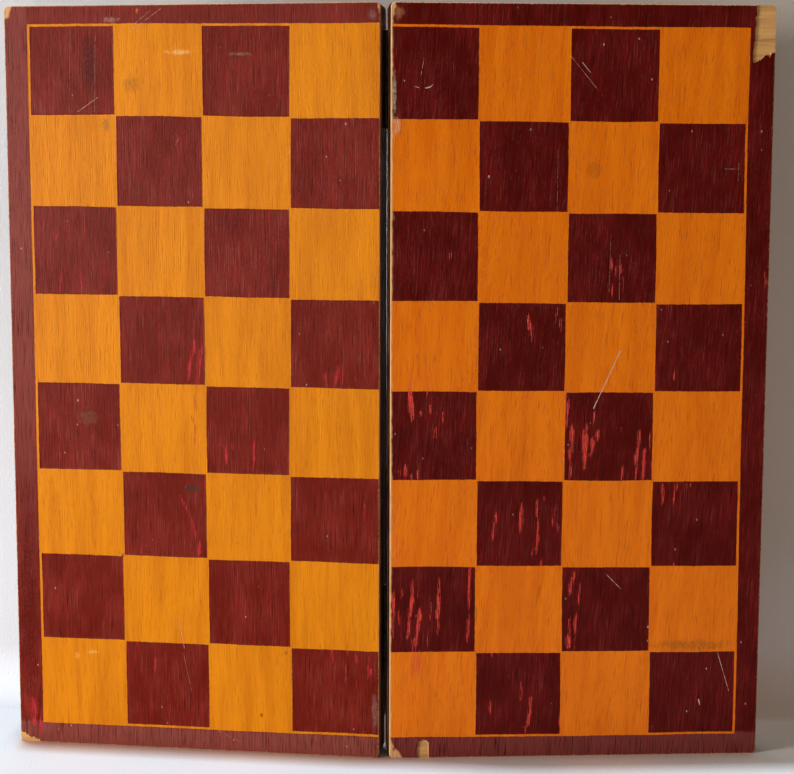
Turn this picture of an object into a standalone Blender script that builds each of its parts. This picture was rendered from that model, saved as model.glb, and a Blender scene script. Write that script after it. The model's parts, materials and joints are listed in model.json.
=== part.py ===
"""Folding wooden game board: a draughts board outside, two backgammon trays inside.

Each half is a shallow tray: a plywood panel on four finger-jointed rails. Two butt hinges join
the halves at the rims of their hinge rails, and two hooks on the left half hold the board shut.
The board stands upright, opened like a book, with its playing face towards -Y.

A half is described in its own directions: u runs outwards from the hinge axis, v runs from the
plane of the hinge axis towards the playing face, and z runs up.
"""
import math

import bmesh
import bpy
from mathutils import Matrix

MM = 0.001

# The two halves
HALF_WIDTH = 196.8 * MM
HALF_HEIGHT = 391.8 * MM
HALF_DEPTH = 20.0 * MM
PANEL_THICKNESS = 4.0 * MM
RAIL_THICKNESS = 9.0 * MM
CORNER_RADIUS = 2.5 * MM
EDGE_EASING = 0.6 * MM
FINGERS = 3
FOLD_HALF_ANGLE = math.radians(5.4)

# Butt hinges
HINGE_LENGTH = 50.0 * MM
UPPER_HINGE_TO_TOP = 12.2 * MM
LOWER_HINGE_TO_BOTTOM = 39.1 * MM
KNUCKLES = 7
BARREL_RADIUS = 1.8 * MM
PIN_RADIUS = 0.9 * MM
LEAF_THICKNESS = 1.0 * MM
WOOD_BESIDE_LEAF = 1.2 * MM
SCREWS_PER_LEAF = 3
HINGE_SCREW_LENGTH = 9.0 * MM
HINGE_SCREW_RADIUS = 1.0 * MM
HINGE_SCREW_HEAD_RADIUS = 1.9 * MM
HINGE_SCREW_HEAD_HEIGHT = 0.9 * MM

# Hooks and the round-headed screws that carry and catch them
HOOK_TO_END = 80.0 * MM
HOOK_SETBACK = 8.0 * MM
HOOK_THICKNESS = 1.0 * MM
HOOK_EYE_RADIUS = 3.6 * MM
HOOK_ARM_WIDTH = 4.4 * MM
HOOK_HEAD_RADIUS = 4.4 * MM
LATCH_SCREW_RADIUS = 1.2 * MM
LATCH_SCREW_HEAD_RADIUS = 2.5 * MM
LATCH_SCREW_HEAD_HEIGHT = 1.3 * MM
WOOD_UNDER_LATCH_SCREW = 2.0 * MM
SLOT_WIDTH = 0.5 * MM
SLOT_DEPTH = 0.5 * MM
SCREW_POINT = 2.5 * MM

# Clearances
HINGE_SLIT = 0.6 * MM
RIM_CLEARANCE = 0.2 * MM
GLUE_LINE = 0.25 * MM
SEAT_CLEARANCE = 0.25 * MM
SCREW_CLEARANCE = 0.12 * MM
PIN_CLEARANCE = 0.06 * MM
KNUCKLE_CLEARANCE = 0.2 * MM
HOOK_CLEARANCE = 0.3 * MM

# Facets, and how far a cutter reaches past the face that it cuts
BARREL_STEPS = 32
SCREW_STEPS = 16
CORNER_STEPS = 6
ARC_STEP = math.radians(15.0)
OVERSHOOT = 1.0 * MM

# Places that follow from the sizes above
INNER_EDGE = HINGE_SLIT / 2
OUTER_EDGE = INNER_EDGE + HALF_WIDTH
RAIL_FRONT = HALF_DEPTH - PANEL_THICKNESS - GLUE_LINE
LEAF_OUTER = INNER_EDGE + RAIL_THICKNESS - WOOD_BESIDE_LEAF
LEAF_INNER = BARREL_RADIUS + KNUCKLE_CLEARANCE
HOOK_REACH = 2 * HOOK_SETBACK
FRONT_REACH = HALF_DEPTH * math.cos(FOLD_HALF_ANGLE) - INNER_EDGE * math.sin(FOLD_HALF_ANGLE)
BACK_REACH = OUTER_EDGE * math.sin(FOLD_HALF_ANGLE) - RIM_CLEARANCE * math.cos(FOLD_HALF_ANGLE)
AXIS_Y = (FRONT_REACH - BACK_REACH) / 2
HINGES = {
    "upper": HALF_HEIGHT - UPPER_HINGE_TO_TOP - HINGE_LENGTH / 2,
    "lower": LOWER_HINGE_TO_BOTTOM + HINGE_LENGTH / 2,
}
LATCHES = {"upper": HALF_HEIGHT - HOOK_TO_END, "lower": HOOK_TO_END}
SIDES = {"left": -1, "right": 1}

# Finishes: colour, roughness, metallic
PLAYING_FACE = ((0.54, 0.17, 0.03), 0.38, 0.0)
STAINED_RAIL = ((0.20, 0.055, 0.030), 0.50, 0.0)
DULL_STEEL = ((0.30, 0.29, 0.28), 0.45, 1.0)
AGED_BRASS = ((0.50, 0.36, 0.16), 0.40, 1.0)

for old in list(bpy.data.objects):
    bpy.data.objects.remove(old, do_unlink=True)

PARTS = bpy.data.collections.new("backgammon_set")
CUTTERS = bpy.data.collections.new("cutters")
for group in (PARTS, CUTTERS):
    bpy.context.scene.collection.children.link(group)


def add(name, data, parent, location=(0, 0, 0), rotation=(0, 0, 0), finish=None):
    """An object under its half's fold empty: a part if it has a finish, else a cutter."""
    obj = bpy.data.objects.new(name, data)
    obj.parent = parent
    obj.location = location
    obj.rotation_euler = rotation
    if finish is None:
        CUTTERS.objects.link(obj)
        obj.hide_render = True
        obj.display_type = "WIRE"
        return obj
    PARTS.objects.link(obj)
    colour, roughness, metallic = finish
    material = bpy.data.materials.new(name)
    material.use_nodes = True
    shader = material.node_tree.nodes["Principled BSDF"]
    shader.inputs["Base Color"].default_value = (*colour, 1.0)
    shader.inputs["Roughness"].default_value = roughness
    shader.inputs["Metallic"].default_value = metallic
    obj.material_slots[0].link = "OBJECT"
    obj.material_slots[0].material = material
    return obj


def mesh_from(name, bm):
    """A mesh with one empty material slot, made from a bmesh."""
    mesh = bpy.data.meshes.new(name)
    bm.to_mesh(mesh)
    bm.free()
    mesh.materials.append(None)
    return mesh


def block(name, side, parent, u, v, z, finish=None, corner=0.0, easing=0.0):
    """A box between two values of u, v and z, with rounded corners and an eased front edge."""
    size = (u[1] - u[0], v[1] - v[0], z[1] - z[0])
    bm = bmesh.new()
    bmesh.ops.create_cube(bm, size=1.0, matrix=Matrix.Diagonal((*size, 1.0)))
    if corner:
        along_depth = [e for e in bm.edges if abs(e.verts[0].co.y - e.verts[1].co.y) > size[1] / 2]
        bmesh.ops.bevel(bm, geom=along_depth, offset=corner, segments=CORNER_STEPS, profile=0.5,
                        affect="EDGES")
    if easing:
        front = [e for e in bm.edges if all(vert.co.y < -0.49 * size[1] for vert in e.verts)]
        bmesh.ops.bevel(bm, geom=front, offset=easing, segments=2, profile=0.5, affect="EDGES")
    centre = (side * (u[0] + u[1]) / 2, -(v[0] + v[1]) / 2, (z[0] + z[1]) / 2)
    return add(name, mesh_from(name, bm), parent, centre, finish=finish)


def rod(name, parent, radius, length, location, finish=None):
    """A closed cylinder that stands along z."""
    bm = bmesh.new()
    bmesh.ops.create_cone(bm, cap_ends=True, segments=BARREL_STEPS, radius1=radius, radius2=radius,
                          depth=length)
    return add(name, mesh_from(name, bm), parent, location, finish=finish)


def combine(target, tool, operation="DIFFERENCE"):
    """Cut the target with another object, or join or trim it."""
    step = target.modifiers.new(tool.name, "BOOLEAN")
    step.operation = operation
    step.solver = "EXACT"
    step.object = tool


def baked(obj):
    """The mesh that an object's modifiers or curve give, with the object removed."""
    bpy.context.view_layer.update()
    depsgraph = bpy.context.evaluated_depsgraph_get()
    mesh = bpy.data.meshes.new_from_object(obj.evaluated_get(depsgraph))
    bpy.data.objects.remove(obj, do_unlink=True)
    bm = bmesh.new()
    bm.from_mesh(mesh)
    bmesh.ops.remove_doubles(bm, verts=bm.verts, dist=1e-6)
    bm.to_mesh(mesh)
    bm.free()
    mesh.materials.clear()
    mesh.materials.append(None)
    return mesh


def turned(name, profile):
    """A mesh turned about z from (radius, height) points that run down its outer side."""
    bm = bmesh.new()
    points = [bm.verts.new((radius, 0.0, height)) for radius, height in profile]
    for first, second in zip(points, points[1:]):
        bm.edges.new((first, second))
    obj = add(name, mesh_from(name, bm), None)
    spin = obj.modifiers.new("turn", "SCREW")
    spin.axis = "Z"
    spin.steps = spin.render_steps = SCREW_STEPS
    spin.use_merge_vertices = True
    spin.merge_threshold = 1e-6
    return baked(obj)


def slotted(name, mesh, head_radius, top):
    """A screw's mesh with the slot for a screwdriver across its head."""
    screw = add(name, mesh, None)
    reach = head_radius + OVERSHOOT
    slot = block(name + "_slot", 1, None, (-reach, reach), (-SLOT_WIDTH / 2, SLOT_WIDTH / 2),
                 (top - SLOT_DEPTH, top + OVERSHOOT))
    combine(screw, slot)
    cut = baked(screw)
    bpy.data.objects.remove(slot, do_unlink=True)
    return cut


def hinge_screw_profile(clearance=0.0, over=0.0):
    """A countersunk wood screw, its flat head at height 0, or the hole that it fits."""
    flare = (HINGE_SCREW_HEAD_RADIUS - HINGE_SCREW_RADIUS) / HINGE_SCREW_HEAD_HEIGHT
    shank = HINGE_SCREW_RADIUS + clearance
    end = HINGE_SCREW_LENGTH + clearance
    return [
        (0.0, over),
        (HINGE_SCREW_HEAD_RADIUS + clearance + flare * over, over),
        (shank, -HINGE_SCREW_HEAD_HEIGHT),
        (shank, -(end - SCREW_POINT)),
        (0.0, -end),
    ]


def latch_screw_profile(clearance=0.0):
    """A round-headed wood screw whose head stands clear of a hook, or its pilot hole."""
    stand_off = HOOK_THICKNESS + 2 * HOOK_CLEARANCE
    end = RAIL_THICKNESS - WOOD_UNDER_LATCH_SCREW + clearance
    shank = LATCH_SCREW_RADIUS + clearance
    if clearance:
        head = [(0.0, stand_off)]
    else:
        dome = [math.radians(angle) for angle in range(90, -1, -15)]
        head = [(LATCH_SCREW_HEAD_RADIUS * math.cos(angle),
                 stand_off + LATCH_SCREW_HEAD_HEIGHT * math.sin(angle)) for angle in dome]
        head[0] = (0.0, head[0][1])
    return head + [(shank, stand_off), (shank, -(end - SCREW_POINT)), (0.0, -end)]


def finger_spans():
    """The depth span of each finger at a corner, from the rim to the panel."""
    step = (RAIL_FRONT - RIM_CLEARANCE) / FINGERS
    return [(RIM_CLEARANCE + i * step, RIM_CLEARANCE + (i + 1) * step) for i in range(FINGERS)]


def add_rail(name, side, parent, u, z, notch_spans, outline):
    """A rail trimmed to the half's outline, with finger notches at its two ends."""
    rail = block(name, side, parent, u, (RIM_CLEARANCE, RAIL_FRONT), z, STAINED_RAIL)
    combine(rail, outline, "INTERSECT")
    reach = RAIL_THICKNESS + GLUE_LINE
    upright = z[1] - z[0] > u[1] - u[0]
    if upright:
        ends = [(u, (z[0] - OVERSHOOT, reach)), (u, (HALF_HEIGHT - reach, z[1] + OVERSHOOT))]
    else:
        ends = [((u[0] - OVERSHOOT, INNER_EDGE + reach), z), ((OUTER_EDGE - reach, u[1] + OVERSHOOT), z)]
    for span in notch_spans:
        low = span[0] - (OVERSHOOT if span[0] == RIM_CLEARANCE else GLUE_LINE / 2)
        high = span[1] + (OVERSHOOT if span[1] >= RAIL_FRONT else GLUE_LINE / 2)
        for index, (end_u, end_z) in enumerate(ends):
            if upright:
                end_u = (end_u[0] - OVERSHOOT, end_u[1] + OVERSHOOT)
            else:
                end_z = (end_z[0] - OVERSHOOT, end_z[1] + OVERSHOOT)
            notch = block(f"{name}_notch_{span[0] / MM:.0f}_{index}", side, parent, end_u,
                          (low, high), end_z)
            combine(rail, notch)
    return rail


def add_half(word, parent):
    """The panel and the four rails of one half."""
    side = SIDES[word]
    full_u = (INNER_EDGE, OUTER_EDGE)
    full_z = (0.0, HALF_HEIGHT)
    outline = block(f"{word}_outline", side, parent, full_u, (-OVERSHOOT, HALF_DEPTH + OVERSHOOT),
                    full_z, corner=CORNER_RADIUS)
    block(f"{word}_panel", side, parent, full_u, (HALF_DEPTH - PANEL_THICKNESS, HALF_DEPTH), full_z,
          PLAYING_FACE, CORNER_RADIUS, EDGE_EASING)
    spans = finger_spans()
    over_u = (INNER_EDGE - OVERSHOOT, OUTER_EDGE + OVERSHOOT)
    over_z = (-OVERSHOOT, HALF_HEIGHT + OVERSHOOT)
    upright_notches = spans[1::2]
    level_notches = spans[0::2]
    rails = {
        "hinge_rail": ((over_u[0], INNER_EDGE + RAIL_THICKNESS), over_z, upright_notches),
        "latch_rail": ((OUTER_EDGE - RAIL_THICKNESS, over_u[1]), over_z, upright_notches),
        "top_rail": (over_u, (HALF_HEIGHT - RAIL_THICKNESS, over_z[1]), level_notches),
        "bottom_rail": (over_u, (over_z[0], RAIL_THICKNESS), level_notches),
    }
    return {rail: add_rail(f"{word}_{rail}", side, parent, u, z, notches, outline)
            for rail, (u, z, notches) in rails.items()}


def screw_heights(centre):
    """Heights of the screws along a hinge leaf."""
    pitch = HINGE_LENGTH / SCREWS_PER_LEAF
    return [centre + (i - (SCREWS_PER_LEAF - 1) / 2) * pitch for i in range(SCREWS_PER_LEAF)]


def add_leaf(name, word, parent, rail, centre, knuckles, screw_mesh, hole_mesh):
    """One hinge leaf let into the rim of its rail, with its knuckles and its screws."""
    side = SIDES[word]
    low = centre - HINGE_LENGTH / 2
    high = centre + HINGE_LENGTH / 2
    leaf_v = (RIM_CLEARANCE, RIM_CLEARANCE + LEAF_THICKNESS)
    leaf = block(name, side, parent, (LEAF_INNER, LEAF_OUTER), leaf_v, (low, high), DULL_STEEL)
    pitch = HINGE_LENGTH / KNUCKLES
    for i in knuckles:
        bottom = low + i * pitch + (KNUCKLE_CLEARANCE / 2 if i > 0 else 0.0)
        top = low + (i + 1) * pitch - (KNUCKLE_CLEARANCE / 2 if i < KNUCKLES - 1 else 0.0)
        web = block(f"{name}_web_{i}", side, parent, (0.0, LEAF_INNER + OVERSHOOT), leaf_v, (bottom, top))
        barrel = rod(f"{name}_barrel_{i}", parent, BARREL_RADIUS, top - bottom, (0, 0, (bottom + top) / 2))
        combine(leaf, web, "UNION")
        combine(leaf, barrel, "UNION")
    bore = rod(f"{name}_bore", parent, PIN_RADIUS + PIN_CLEARANCE, HINGE_LENGTH + 2 * OVERSHOOT,
               (0, 0, centre))
    combine(leaf, bore)

    seat_z = (low - SEAT_CLEARANCE, high + SEAT_CLEARANCE)
    mortise = block(f"{name}_mortise", side, parent, (0.0, LEAF_OUTER + SEAT_CLEARANCE),
                    (RIM_CLEARANCE - OVERSHOOT, leaf_v[1] + SEAT_CLEARANCE), seat_z)
    groove = rod(f"{name}_groove", parent, BARREL_RADIUS + SEAT_CLEARANCE,
                 HINGE_LENGTH + 4 * SEAT_CLEARANCE, (0, 0, centre))
    combine(rail, mortise)
    combine(rail, groove)

    turn = (-math.pi / 2, 0, 0)
    for number, height in enumerate(screw_heights(centre), 1):
        place = (side * (LEAF_INNER + LEAF_OUTER) / 2, -RIM_CLEARANCE, height)
        hole = add(f"{name}_hole_{number}", hole_mesh, parent, place, turn)
        combine(leaf, hole)
        combine(rail, hole)
        add(f"{name}_screw_{number}", screw_mesh, parent, place, turn, DULL_STEEL)


def arc(centre_x, radius, start, stop):
    """Points along an arc about (centre_x, 0), both ends included."""
    count = max(2, math.ceil(abs(stop - start) / ARC_STEP))
    angles = [start + (stop - start) * i / count for i in range(count + 1)]
    return [(centre_x + radius * math.cos(a), radius * math.sin(a)) for a in angles]


def hook_outline():
    """A flat hook: an eye, an arm, and a head whose slot follows the swing about the eye."""
    half_arm = HOOK_ARM_WIDTH / 2
    half_slot = LATCH_SCREW_RADIUS + HOOK_CLEARANCE
    eye = math.asin(half_arm / HOOK_EYE_RADIUS)
    neck = math.asin(half_arm / HOOK_HEAD_RADIUS)

    def meeting(radius):
        """Where an arc about the eye leaves the round head: its angles about the eye and head."""
        x = (radius ** 2 + HOOK_REACH ** 2 - HOOK_HEAD_RADIUS ** 2) / (2 * HOOK_REACH)
        y = math.sqrt(radius ** 2 - x ** 2)
        return math.atan2(y, x), math.atan2(y, x - HOOK_REACH)

    outer_swing, outer_head = meeting(HOOK_REACH + half_slot)
    inner_swing, inner_head = meeting(HOOK_REACH - half_slot)
    stretches = [
        arc(0.0, HOOK_EYE_RADIUS, eye, math.tau - eye),
        arc(HOOK_REACH, HOOK_HEAD_RADIUS, math.pi + neck, math.tau + outer_head),
        arc(0.0, HOOK_REACH + half_slot, outer_swing, 0.0)[1:],
        arc(HOOK_REACH, half_slot, 0.0, -math.pi)[1:],
        arc(0.0, HOOK_REACH - half_slot, 0.0, inner_swing)[1:],
        arc(HOOK_REACH, HOOK_HEAD_RADIUS, inner_head, math.pi - neck)[1:],
    ]
    return [point for stretch in stretches for point in stretch]


def hook_mesh():
    """The hook's flat outline and its pivot hole, extruded to the hook's thickness."""
    hole = arc(0.0, LATCH_SCREW_RADIUS + PIN_CLEARANCE, 0.0, math.tau)[:-1]
    curve = bpy.data.curves.new("hook", "CURVE")
    curve.dimensions = "2D"
    curve.fill_mode = "BOTH"
    curve.extrude = HOOK_THICKNESS / 2
    for points in (hook_outline(), hole):
        spline = curve.splines.new("POLY")
        spline.points.add(len(points) - 1)
        for point, (x, y) in zip(spline.points, points):
            point.co = (x, y, 0.0, 1.0)
        spline.use_cyclic_u = True
    return baked(add("hook", curve, None))


def add_latch_screw(name, word, parent, rail, height, screw_mesh, pilot_mesh):
    """A round-headed screw in the outer face of a latch rail."""
    side = SIDES[word]
    place = (side * OUTER_EDGE, -HOOK_SETBACK, height)
    turn = (0, side * math.pi / 2, 0)
    combine(rail, add(f"{name}_pilot", pilot_mesh, parent, place, turn))
    add(name, screw_mesh, parent, place, turn, AGED_BRASS)


folds = {}
for word, side in SIDES.items():
    folds[word] = bpy.data.objects.new(f"{word}_fold", None)
    PARTS.objects.link(folds[word])
    folds[word].location = (0, AXIS_Y, 0)
    folds[word].rotation_euler = (0, 0, side * FOLD_HALF_ANGLE)
rails = {word: add_half(word, folds[word]) for word in SIDES}

hinge_screw = slotted("hinge_screw", turned("hinge_screw", hinge_screw_profile()),
                      HINGE_SCREW_HEAD_RADIUS, 0.0)
hinge_hole = turned("hinge_hole", hinge_screw_profile(SCREW_CLEARANCE, OVERSHOOT))
for level, centre in HINGES.items():
    for word, first in (("left", 0), ("right", 1)):
        add_leaf(f"{level}_hinge_{word}_leaf", word, folds[word], rails[word]["hinge_rail"], centre,
                 range(first, KNUCKLES, 2), hinge_screw, hinge_hole)
    rod(f"{level}_hinge_pin", folds["left"], PIN_RADIUS, HINGE_LENGTH, (0, 0, centre), DULL_STEEL)

screw_top = HOOK_THICKNESS + 2 * HOOK_CLEARANCE + LATCH_SCREW_HEAD_HEIGHT
latch_screw = slotted("latch_screw", turned("latch_screw", latch_screw_profile()),
                      LATCH_SCREW_HEAD_RADIUS, screw_top)
latch_pilot = turned("latch_pilot", latch_screw_profile(SCREW_CLEARANCE))
hook = hook_mesh()
for level, height in LATCHES.items():
    add_latch_screw(f"{level}_hook_screw", "left", folds["left"], rails["left"]["latch_rail"], height,
                    latch_screw, latch_pilot)
    add_latch_screw(f"{level}_catch_screw", "right", folds["right"], rails["right"]["latch_rail"],
                    height, latch_screw, latch_pilot)
    add(f"{level}_hook", hook, folds["left"],
        (-(OUTER_EDGE + HOOK_CLEARANCE + HOOK_THICKNESS / 2), -HOOK_SETBACK, height),
        (0, math.pi / 2, 0), AGED_BRASS)
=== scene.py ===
# %% [markdown]
# # A folding game board, standing open
# The board has two shallow trays that close like a book. Outside, its painted face is a draughts
# board of 8 by 8 squares; inside, the trays carry the long points of backgammon. The solids come
# from the CAD frame. This script gives them paint, grain, wear, chipped veneer and aged metal, and
# builds the plain studio around them.

# %% Load the frame and keep the box of the solids
import json
import math

import bpy
import numpy as np
from mathutils import Euler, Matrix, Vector


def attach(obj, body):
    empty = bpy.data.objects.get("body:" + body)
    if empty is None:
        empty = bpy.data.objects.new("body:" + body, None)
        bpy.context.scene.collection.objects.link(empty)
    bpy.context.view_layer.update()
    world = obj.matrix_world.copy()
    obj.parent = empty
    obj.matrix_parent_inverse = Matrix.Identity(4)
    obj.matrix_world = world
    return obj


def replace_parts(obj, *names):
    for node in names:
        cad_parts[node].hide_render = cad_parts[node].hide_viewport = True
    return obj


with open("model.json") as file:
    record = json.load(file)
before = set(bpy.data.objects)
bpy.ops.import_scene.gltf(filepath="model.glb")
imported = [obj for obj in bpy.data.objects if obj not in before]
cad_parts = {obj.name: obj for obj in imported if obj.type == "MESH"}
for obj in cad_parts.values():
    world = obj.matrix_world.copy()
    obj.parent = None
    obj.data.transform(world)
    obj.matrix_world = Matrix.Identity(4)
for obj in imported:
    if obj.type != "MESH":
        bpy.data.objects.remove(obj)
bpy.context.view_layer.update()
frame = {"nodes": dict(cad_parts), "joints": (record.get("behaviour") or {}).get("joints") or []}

MM = 0.001

# %% [markdown]
# ## The camera
# A camera is a place, a direction and a focal length. These were fitted to the crossings of the
# painted squares, so the squares of the picture and of the photograph fall in the same places. A
# long lens keeps the two leaning halves almost free of perspective.

# %% Camera
PICTURE_WIDTH = 794
FOCAL_PIXELS = 1679.54
SENSOR_MM = 36.0

lens = bpy.data.cameras.new("camera")
lens.sensor_width = SENSOR_MM
lens.lens = FOCAL_PIXELS * SENSOR_MM / PICTURE_WIDTH
camera = bpy.data.objects.new("camera", lens)
camera.location = (0.04267, -0.87574, 0.29853)
camera.rotation_euler = Euler([math.radians(angle) for angle in (83.2822, -0.1769, 2.4219)])
bpy.context.scene.collection.objects.link(camera)
bpy.context.scene.camera = camera
bpy.context.scene.view_settings.view_transform = "Standard"
print("focal length:", round(lens.lens, 2), "mm")

# %% [markdown]
# ## The directions of a half
# Each half leans back a few degrees from the hinge axis. It is easiest to think of a half by
# itself: u runs outwards from the hinge axis, v runs from the axis plane to the painted face, and z
# runs up. Two numbers place a half in the frame, and both come from the joint of the fold: where
# its axis is, and how far it can still open, which is twice the lean of one half.

# %% From a half's own directions to the frame
SIDES = {"left": -1, "right": 1}
fold = next(joint for joint in frame["joints"] if joint["name"] == "board_fold")
AXIS_Y = fold["pos_m"][1]
LEAN = math.radians(-fold["range_deg"][0]) / 2


def to_frame(side, u, v, z):
    """Points in the frame from u, v and z in millimetres.

    The half is first laid along x, as (side u, -v), and is then turned by side times the lean
    about the hinge axis.
    """
    x, y = side * u, -v
    turn = side * LEAN
    points = (x * np.cos(turn) - y * np.sin(turn), x * np.sin(turn) + y * np.cos(turn), z)
    return np.stack(np.broadcast_arrays(*points), axis=-1) * MM + (0, AXIS_Y, 0)


def own_box(node, side):
    """A solid's lowest and highest u, v and z in millimetres: the turn above, undone."""
    points = np.array([vertex.co for vertex in frame["nodes"][node].data.vertices])
    x, y = points[:, 0], points[:, 1] - AXIS_Y
    turn = side * LEAN
    own = np.stack([side * (x * np.cos(turn) + y * np.sin(turn)),
                    x * np.sin(turn) - y * np.cos(turn), points[:, 2]], axis=1) / MM
    return own.min(0).round(3), own.max(0).round(3)


for word, side in SIDES.items():
    print(word, "panel:", *own_box(word + "_panel", side))
PANEL_LOW, PANEL_HIGH = own_box("left_panel", -1)

# %% [markdown]
# ## Small helpers for shader nodes
# A material is a tree of nodes, and a long tree is hard to read. So what a node puts out is wrapped
# in a small class, and a sum such as a * 0.5 + b adds the Math nodes for it. Short functions name the
# soft thresholds, the mixes and the noises that every finish here is made of.

# %% Node helpers
class Value:
    """What a node puts out. A sum written with it adds the Math nodes that work it out."""

    __array_ufunc__ = None  # numpy leaves sums with a Value to this class

    def __init__(self, socket):
        self.socket, self.tree = socket, socket.id_data

    def __add__(self, other):
        return calc("ADD", self, other)

    def __sub__(self, other):
        return calc("SUBTRACT", self, other)

    def __rsub__(self, other):
        return calc("SUBTRACT", other, self)

    def __mul__(self, other):
        return calc("MULTIPLY", self, other)

    def __truediv__(self, other):
        return calc("DIVIDE", self, other)

    def __rtruediv__(self, other):
        return calc("DIVIDE", other, self)

    def __abs__(self):
        return calc("ABSOLUTE", self)


def fill(node, inputs):
    """Fill a node's sockets from plain values, or from what other nodes put out."""
    for key, value in dict(inputs).items():
        if isinstance(value, Value):
            value.tree.links.new(value.socket, node.inputs[key])
        else:
            node.inputs[key].default_value = value
    return node


def add_node(tree, kind, inputs=(), **settings):
    """Add a shader node, set its properties and fill its sockets."""
    made = tree.nodes.new("ShaderNode" + kind)
    for key, value in settings.items():
        setattr(made, key, value)
    return fill(made, inputs)


def put_out(node):
    """Everything that a node puts out, by name."""
    return {socket.name: Value(socket) for socket in node.outputs if socket.name}


def beside(kind, inputs, out=0, **settings):
    """One output of a new node that stands in the same tree as its inputs."""
    inputs = dict(inputs)
    tree = next(value.tree for value in inputs.values() if isinstance(value, Value))
    return Value(add_node(tree, kind, inputs, **settings).outputs[out])


def calc(operation, *values, clamp=False):
    """The result of one Math node."""
    return beside("Math", enumerate(values), operation=operation, use_clamp=clamp)


def vector(operation, *values, out=0):
    """The result of one Vector Math node."""
    return beside("VectorMath", enumerate(values), out, operation=operation)


def step(value, low, high, start=0.0, stop=1.0):
    """A soft threshold: start below low, stop above high, and a smooth S between them."""
    inputs = {"Value": value, "From Min": low, "From Max": high, "To Min": start, "To Max": stop}
    return beside("MapRange", inputs, interpolation_type="SMOOTHSTEP")


def mix(share, first, second):
    """The first colour where share is 0, the second where it is 1."""
    first, second = ((*end, 1) if isinstance(end, tuple) else end for end in (first, second))
    return beside("Mix", {0: share, 6: first, 7: second}, 2, data_type="RGBA")


def stretch(place, scale):
    """A vector with each part multiplied by its own number, or all by one."""
    return vector("MULTIPLY", place, (scale,) * 3 if isinstance(scale, float) else scale)


def noise(place, scale, detail=2.0, roughness=0.5, out=0):
    """Smooth noise, near 0.5 on average: the place is stretched, then a lump is about one unit."""
    inputs = {"Vector": stretch(place, scale), "Scale": 1.0, "Detail": detail, "Roughness": roughness}
    return beside("TexNoise", inputs, out)


def parts(place):
    """The x, y and z of a vector."""
    return [Value(socket) for socket in add_node(place.tree, "SeparateXYZ", {0: place}).outputs]


def turned(place, angle):
    """A vector turned about y, so that upright grain can lean or lie down."""
    return beside("Mapping", {"Vector": place, "Rotation": (0, angle, 0)})


def relief(height, depth):
    """A normal bent by a height that runs from 0 to 1, for a relief of that depth in metres."""
    return beside("Bump", {"Strength": 1.0, "Distance": depth, "Height": height})


def coordinates(tree, name="Object"):
    """One of the coordinates of the piece itself."""
    return Value(add_node(tree, "TexCoord").outputs[name])


def half_millimetres(tree, side):
    """Object coordinates turned back into a half's own directions: x = side u, y = -v, z."""
    inputs = {"Vector": coordinates(tree), "Location": (0, AXIS_Y, 0), "Rotation": (0, 0, side * LEAN),
              "Scale": (MM, MM, MM)}
    return beside("Mapping", inputs, vector_type="TEXTURE")


def new_group(name, inputs, outputs):
    """A shader node group with named sockets: its tree, its output node and its inner inputs.

    An input with a number is a number; one with None is a vector. Every output is a number.
    """
    tree = bpy.data.node_groups.new(name, "ShaderNodeTree")
    for label, value in inputs.items():
        kind = "NodeSocketVector" if value is None else "NodeSocketFloat"
        socket = tree.interface.new_socket(label, in_out="INPUT", socket_type=kind)
        if value is not None:
            socket.default_value = value
    for label in outputs:
        tree.interface.new_socket(label, in_out="OUTPUT", socket_type="NodeSocketFloat")
    given = put_out(tree.nodes.new("NodeGroupInput"))
    return tree, tree.nodes.new("NodeGroupOutput"), *given.values()


def use_group(group, inputs):
    """What a group puts out when it is placed in the tree of its inputs."""
    return put_out(add_node(inputs["Vector"].tree, "Group", inputs, node_tree=group))


def new_material(name):
    """A material with its tree and its Principled shader."""
    material = bpy.data.materials.new(name)
    material.use_nodes = True
    return material, material.node_tree, material.node_tree.nodes["Principled BSDF"]


print("helpers ready")

# %% [markdown]
# ## Wood grain
# The veneer is a pale, even wood, like beech: fine fibres along the grain, and short dark flecks a
# few millimetres long, which are its rays. Noise that is squeezed across the grain and stretched
# along it gives both. A slower noise bends the lines a little, because no board is perfectly
# straight, and a very slow one makes some places lighter and others deeper.

# %% The wood grain group
def build_wood_grain():
    tree, result, place, share = new_group(
        "wood_grain", {"Vector": None, "Fleck Share": 0.5}, ["Fibre", "Fleck", "Tone"])
    bend = stretch(noise(place, (0.045, 0.045, 0.009), 1.0, out="Color"), (9.0, 9.0, 0.0))
    grain = vector("ADD", place, bend)
    fibre = noise(grain, (1.5, 1.5, 0.05), 4.0, 0.65)
    fleck = noise(grain, (2.5, 2.5, 0.065), 2.0, 0.6)
    tone = noise(grain, (0.16, 0.16, 0.014), 3.0, 0.6)
    least = 0.72 - share * 0.20
    fill(result, {"Fibre": step(fibre, 0.30, 0.70), "Fleck": step(fleck, least, least + 0.08),
                  "Tone": step(tone, 0.3, 0.7)})
    return tree


WOOD_GRAIN = build_wood_grain()
print("group:", WOOD_GRAIN.name)

# %% [markdown]
# ## The painted squares
# The squares were painted by hand over the varnished veneer, along ruled lines 46 mm apart. Two
# dark squares never quite meet at a corner, their edges wander by a fraction of a millimetre, and a
# thin line is left bare between the outer squares and the dark border. A shader can say all of that
# in sums, so the edges stay sharp at any distance: a point's distance to the nearest ruled line,
# the parity of its square, and where the ruled field ends.

# %% The draughts board group
SQUARE = 46.0
FIRST_LINE = 0.1
SQUARES_EACH_WAY = 4
PAINT_INSET = 0.42
OUTER_PAINT = 0.65
BARE_LINE = 1.45
SOFT = 0.1
RIDGE = 1.2


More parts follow.
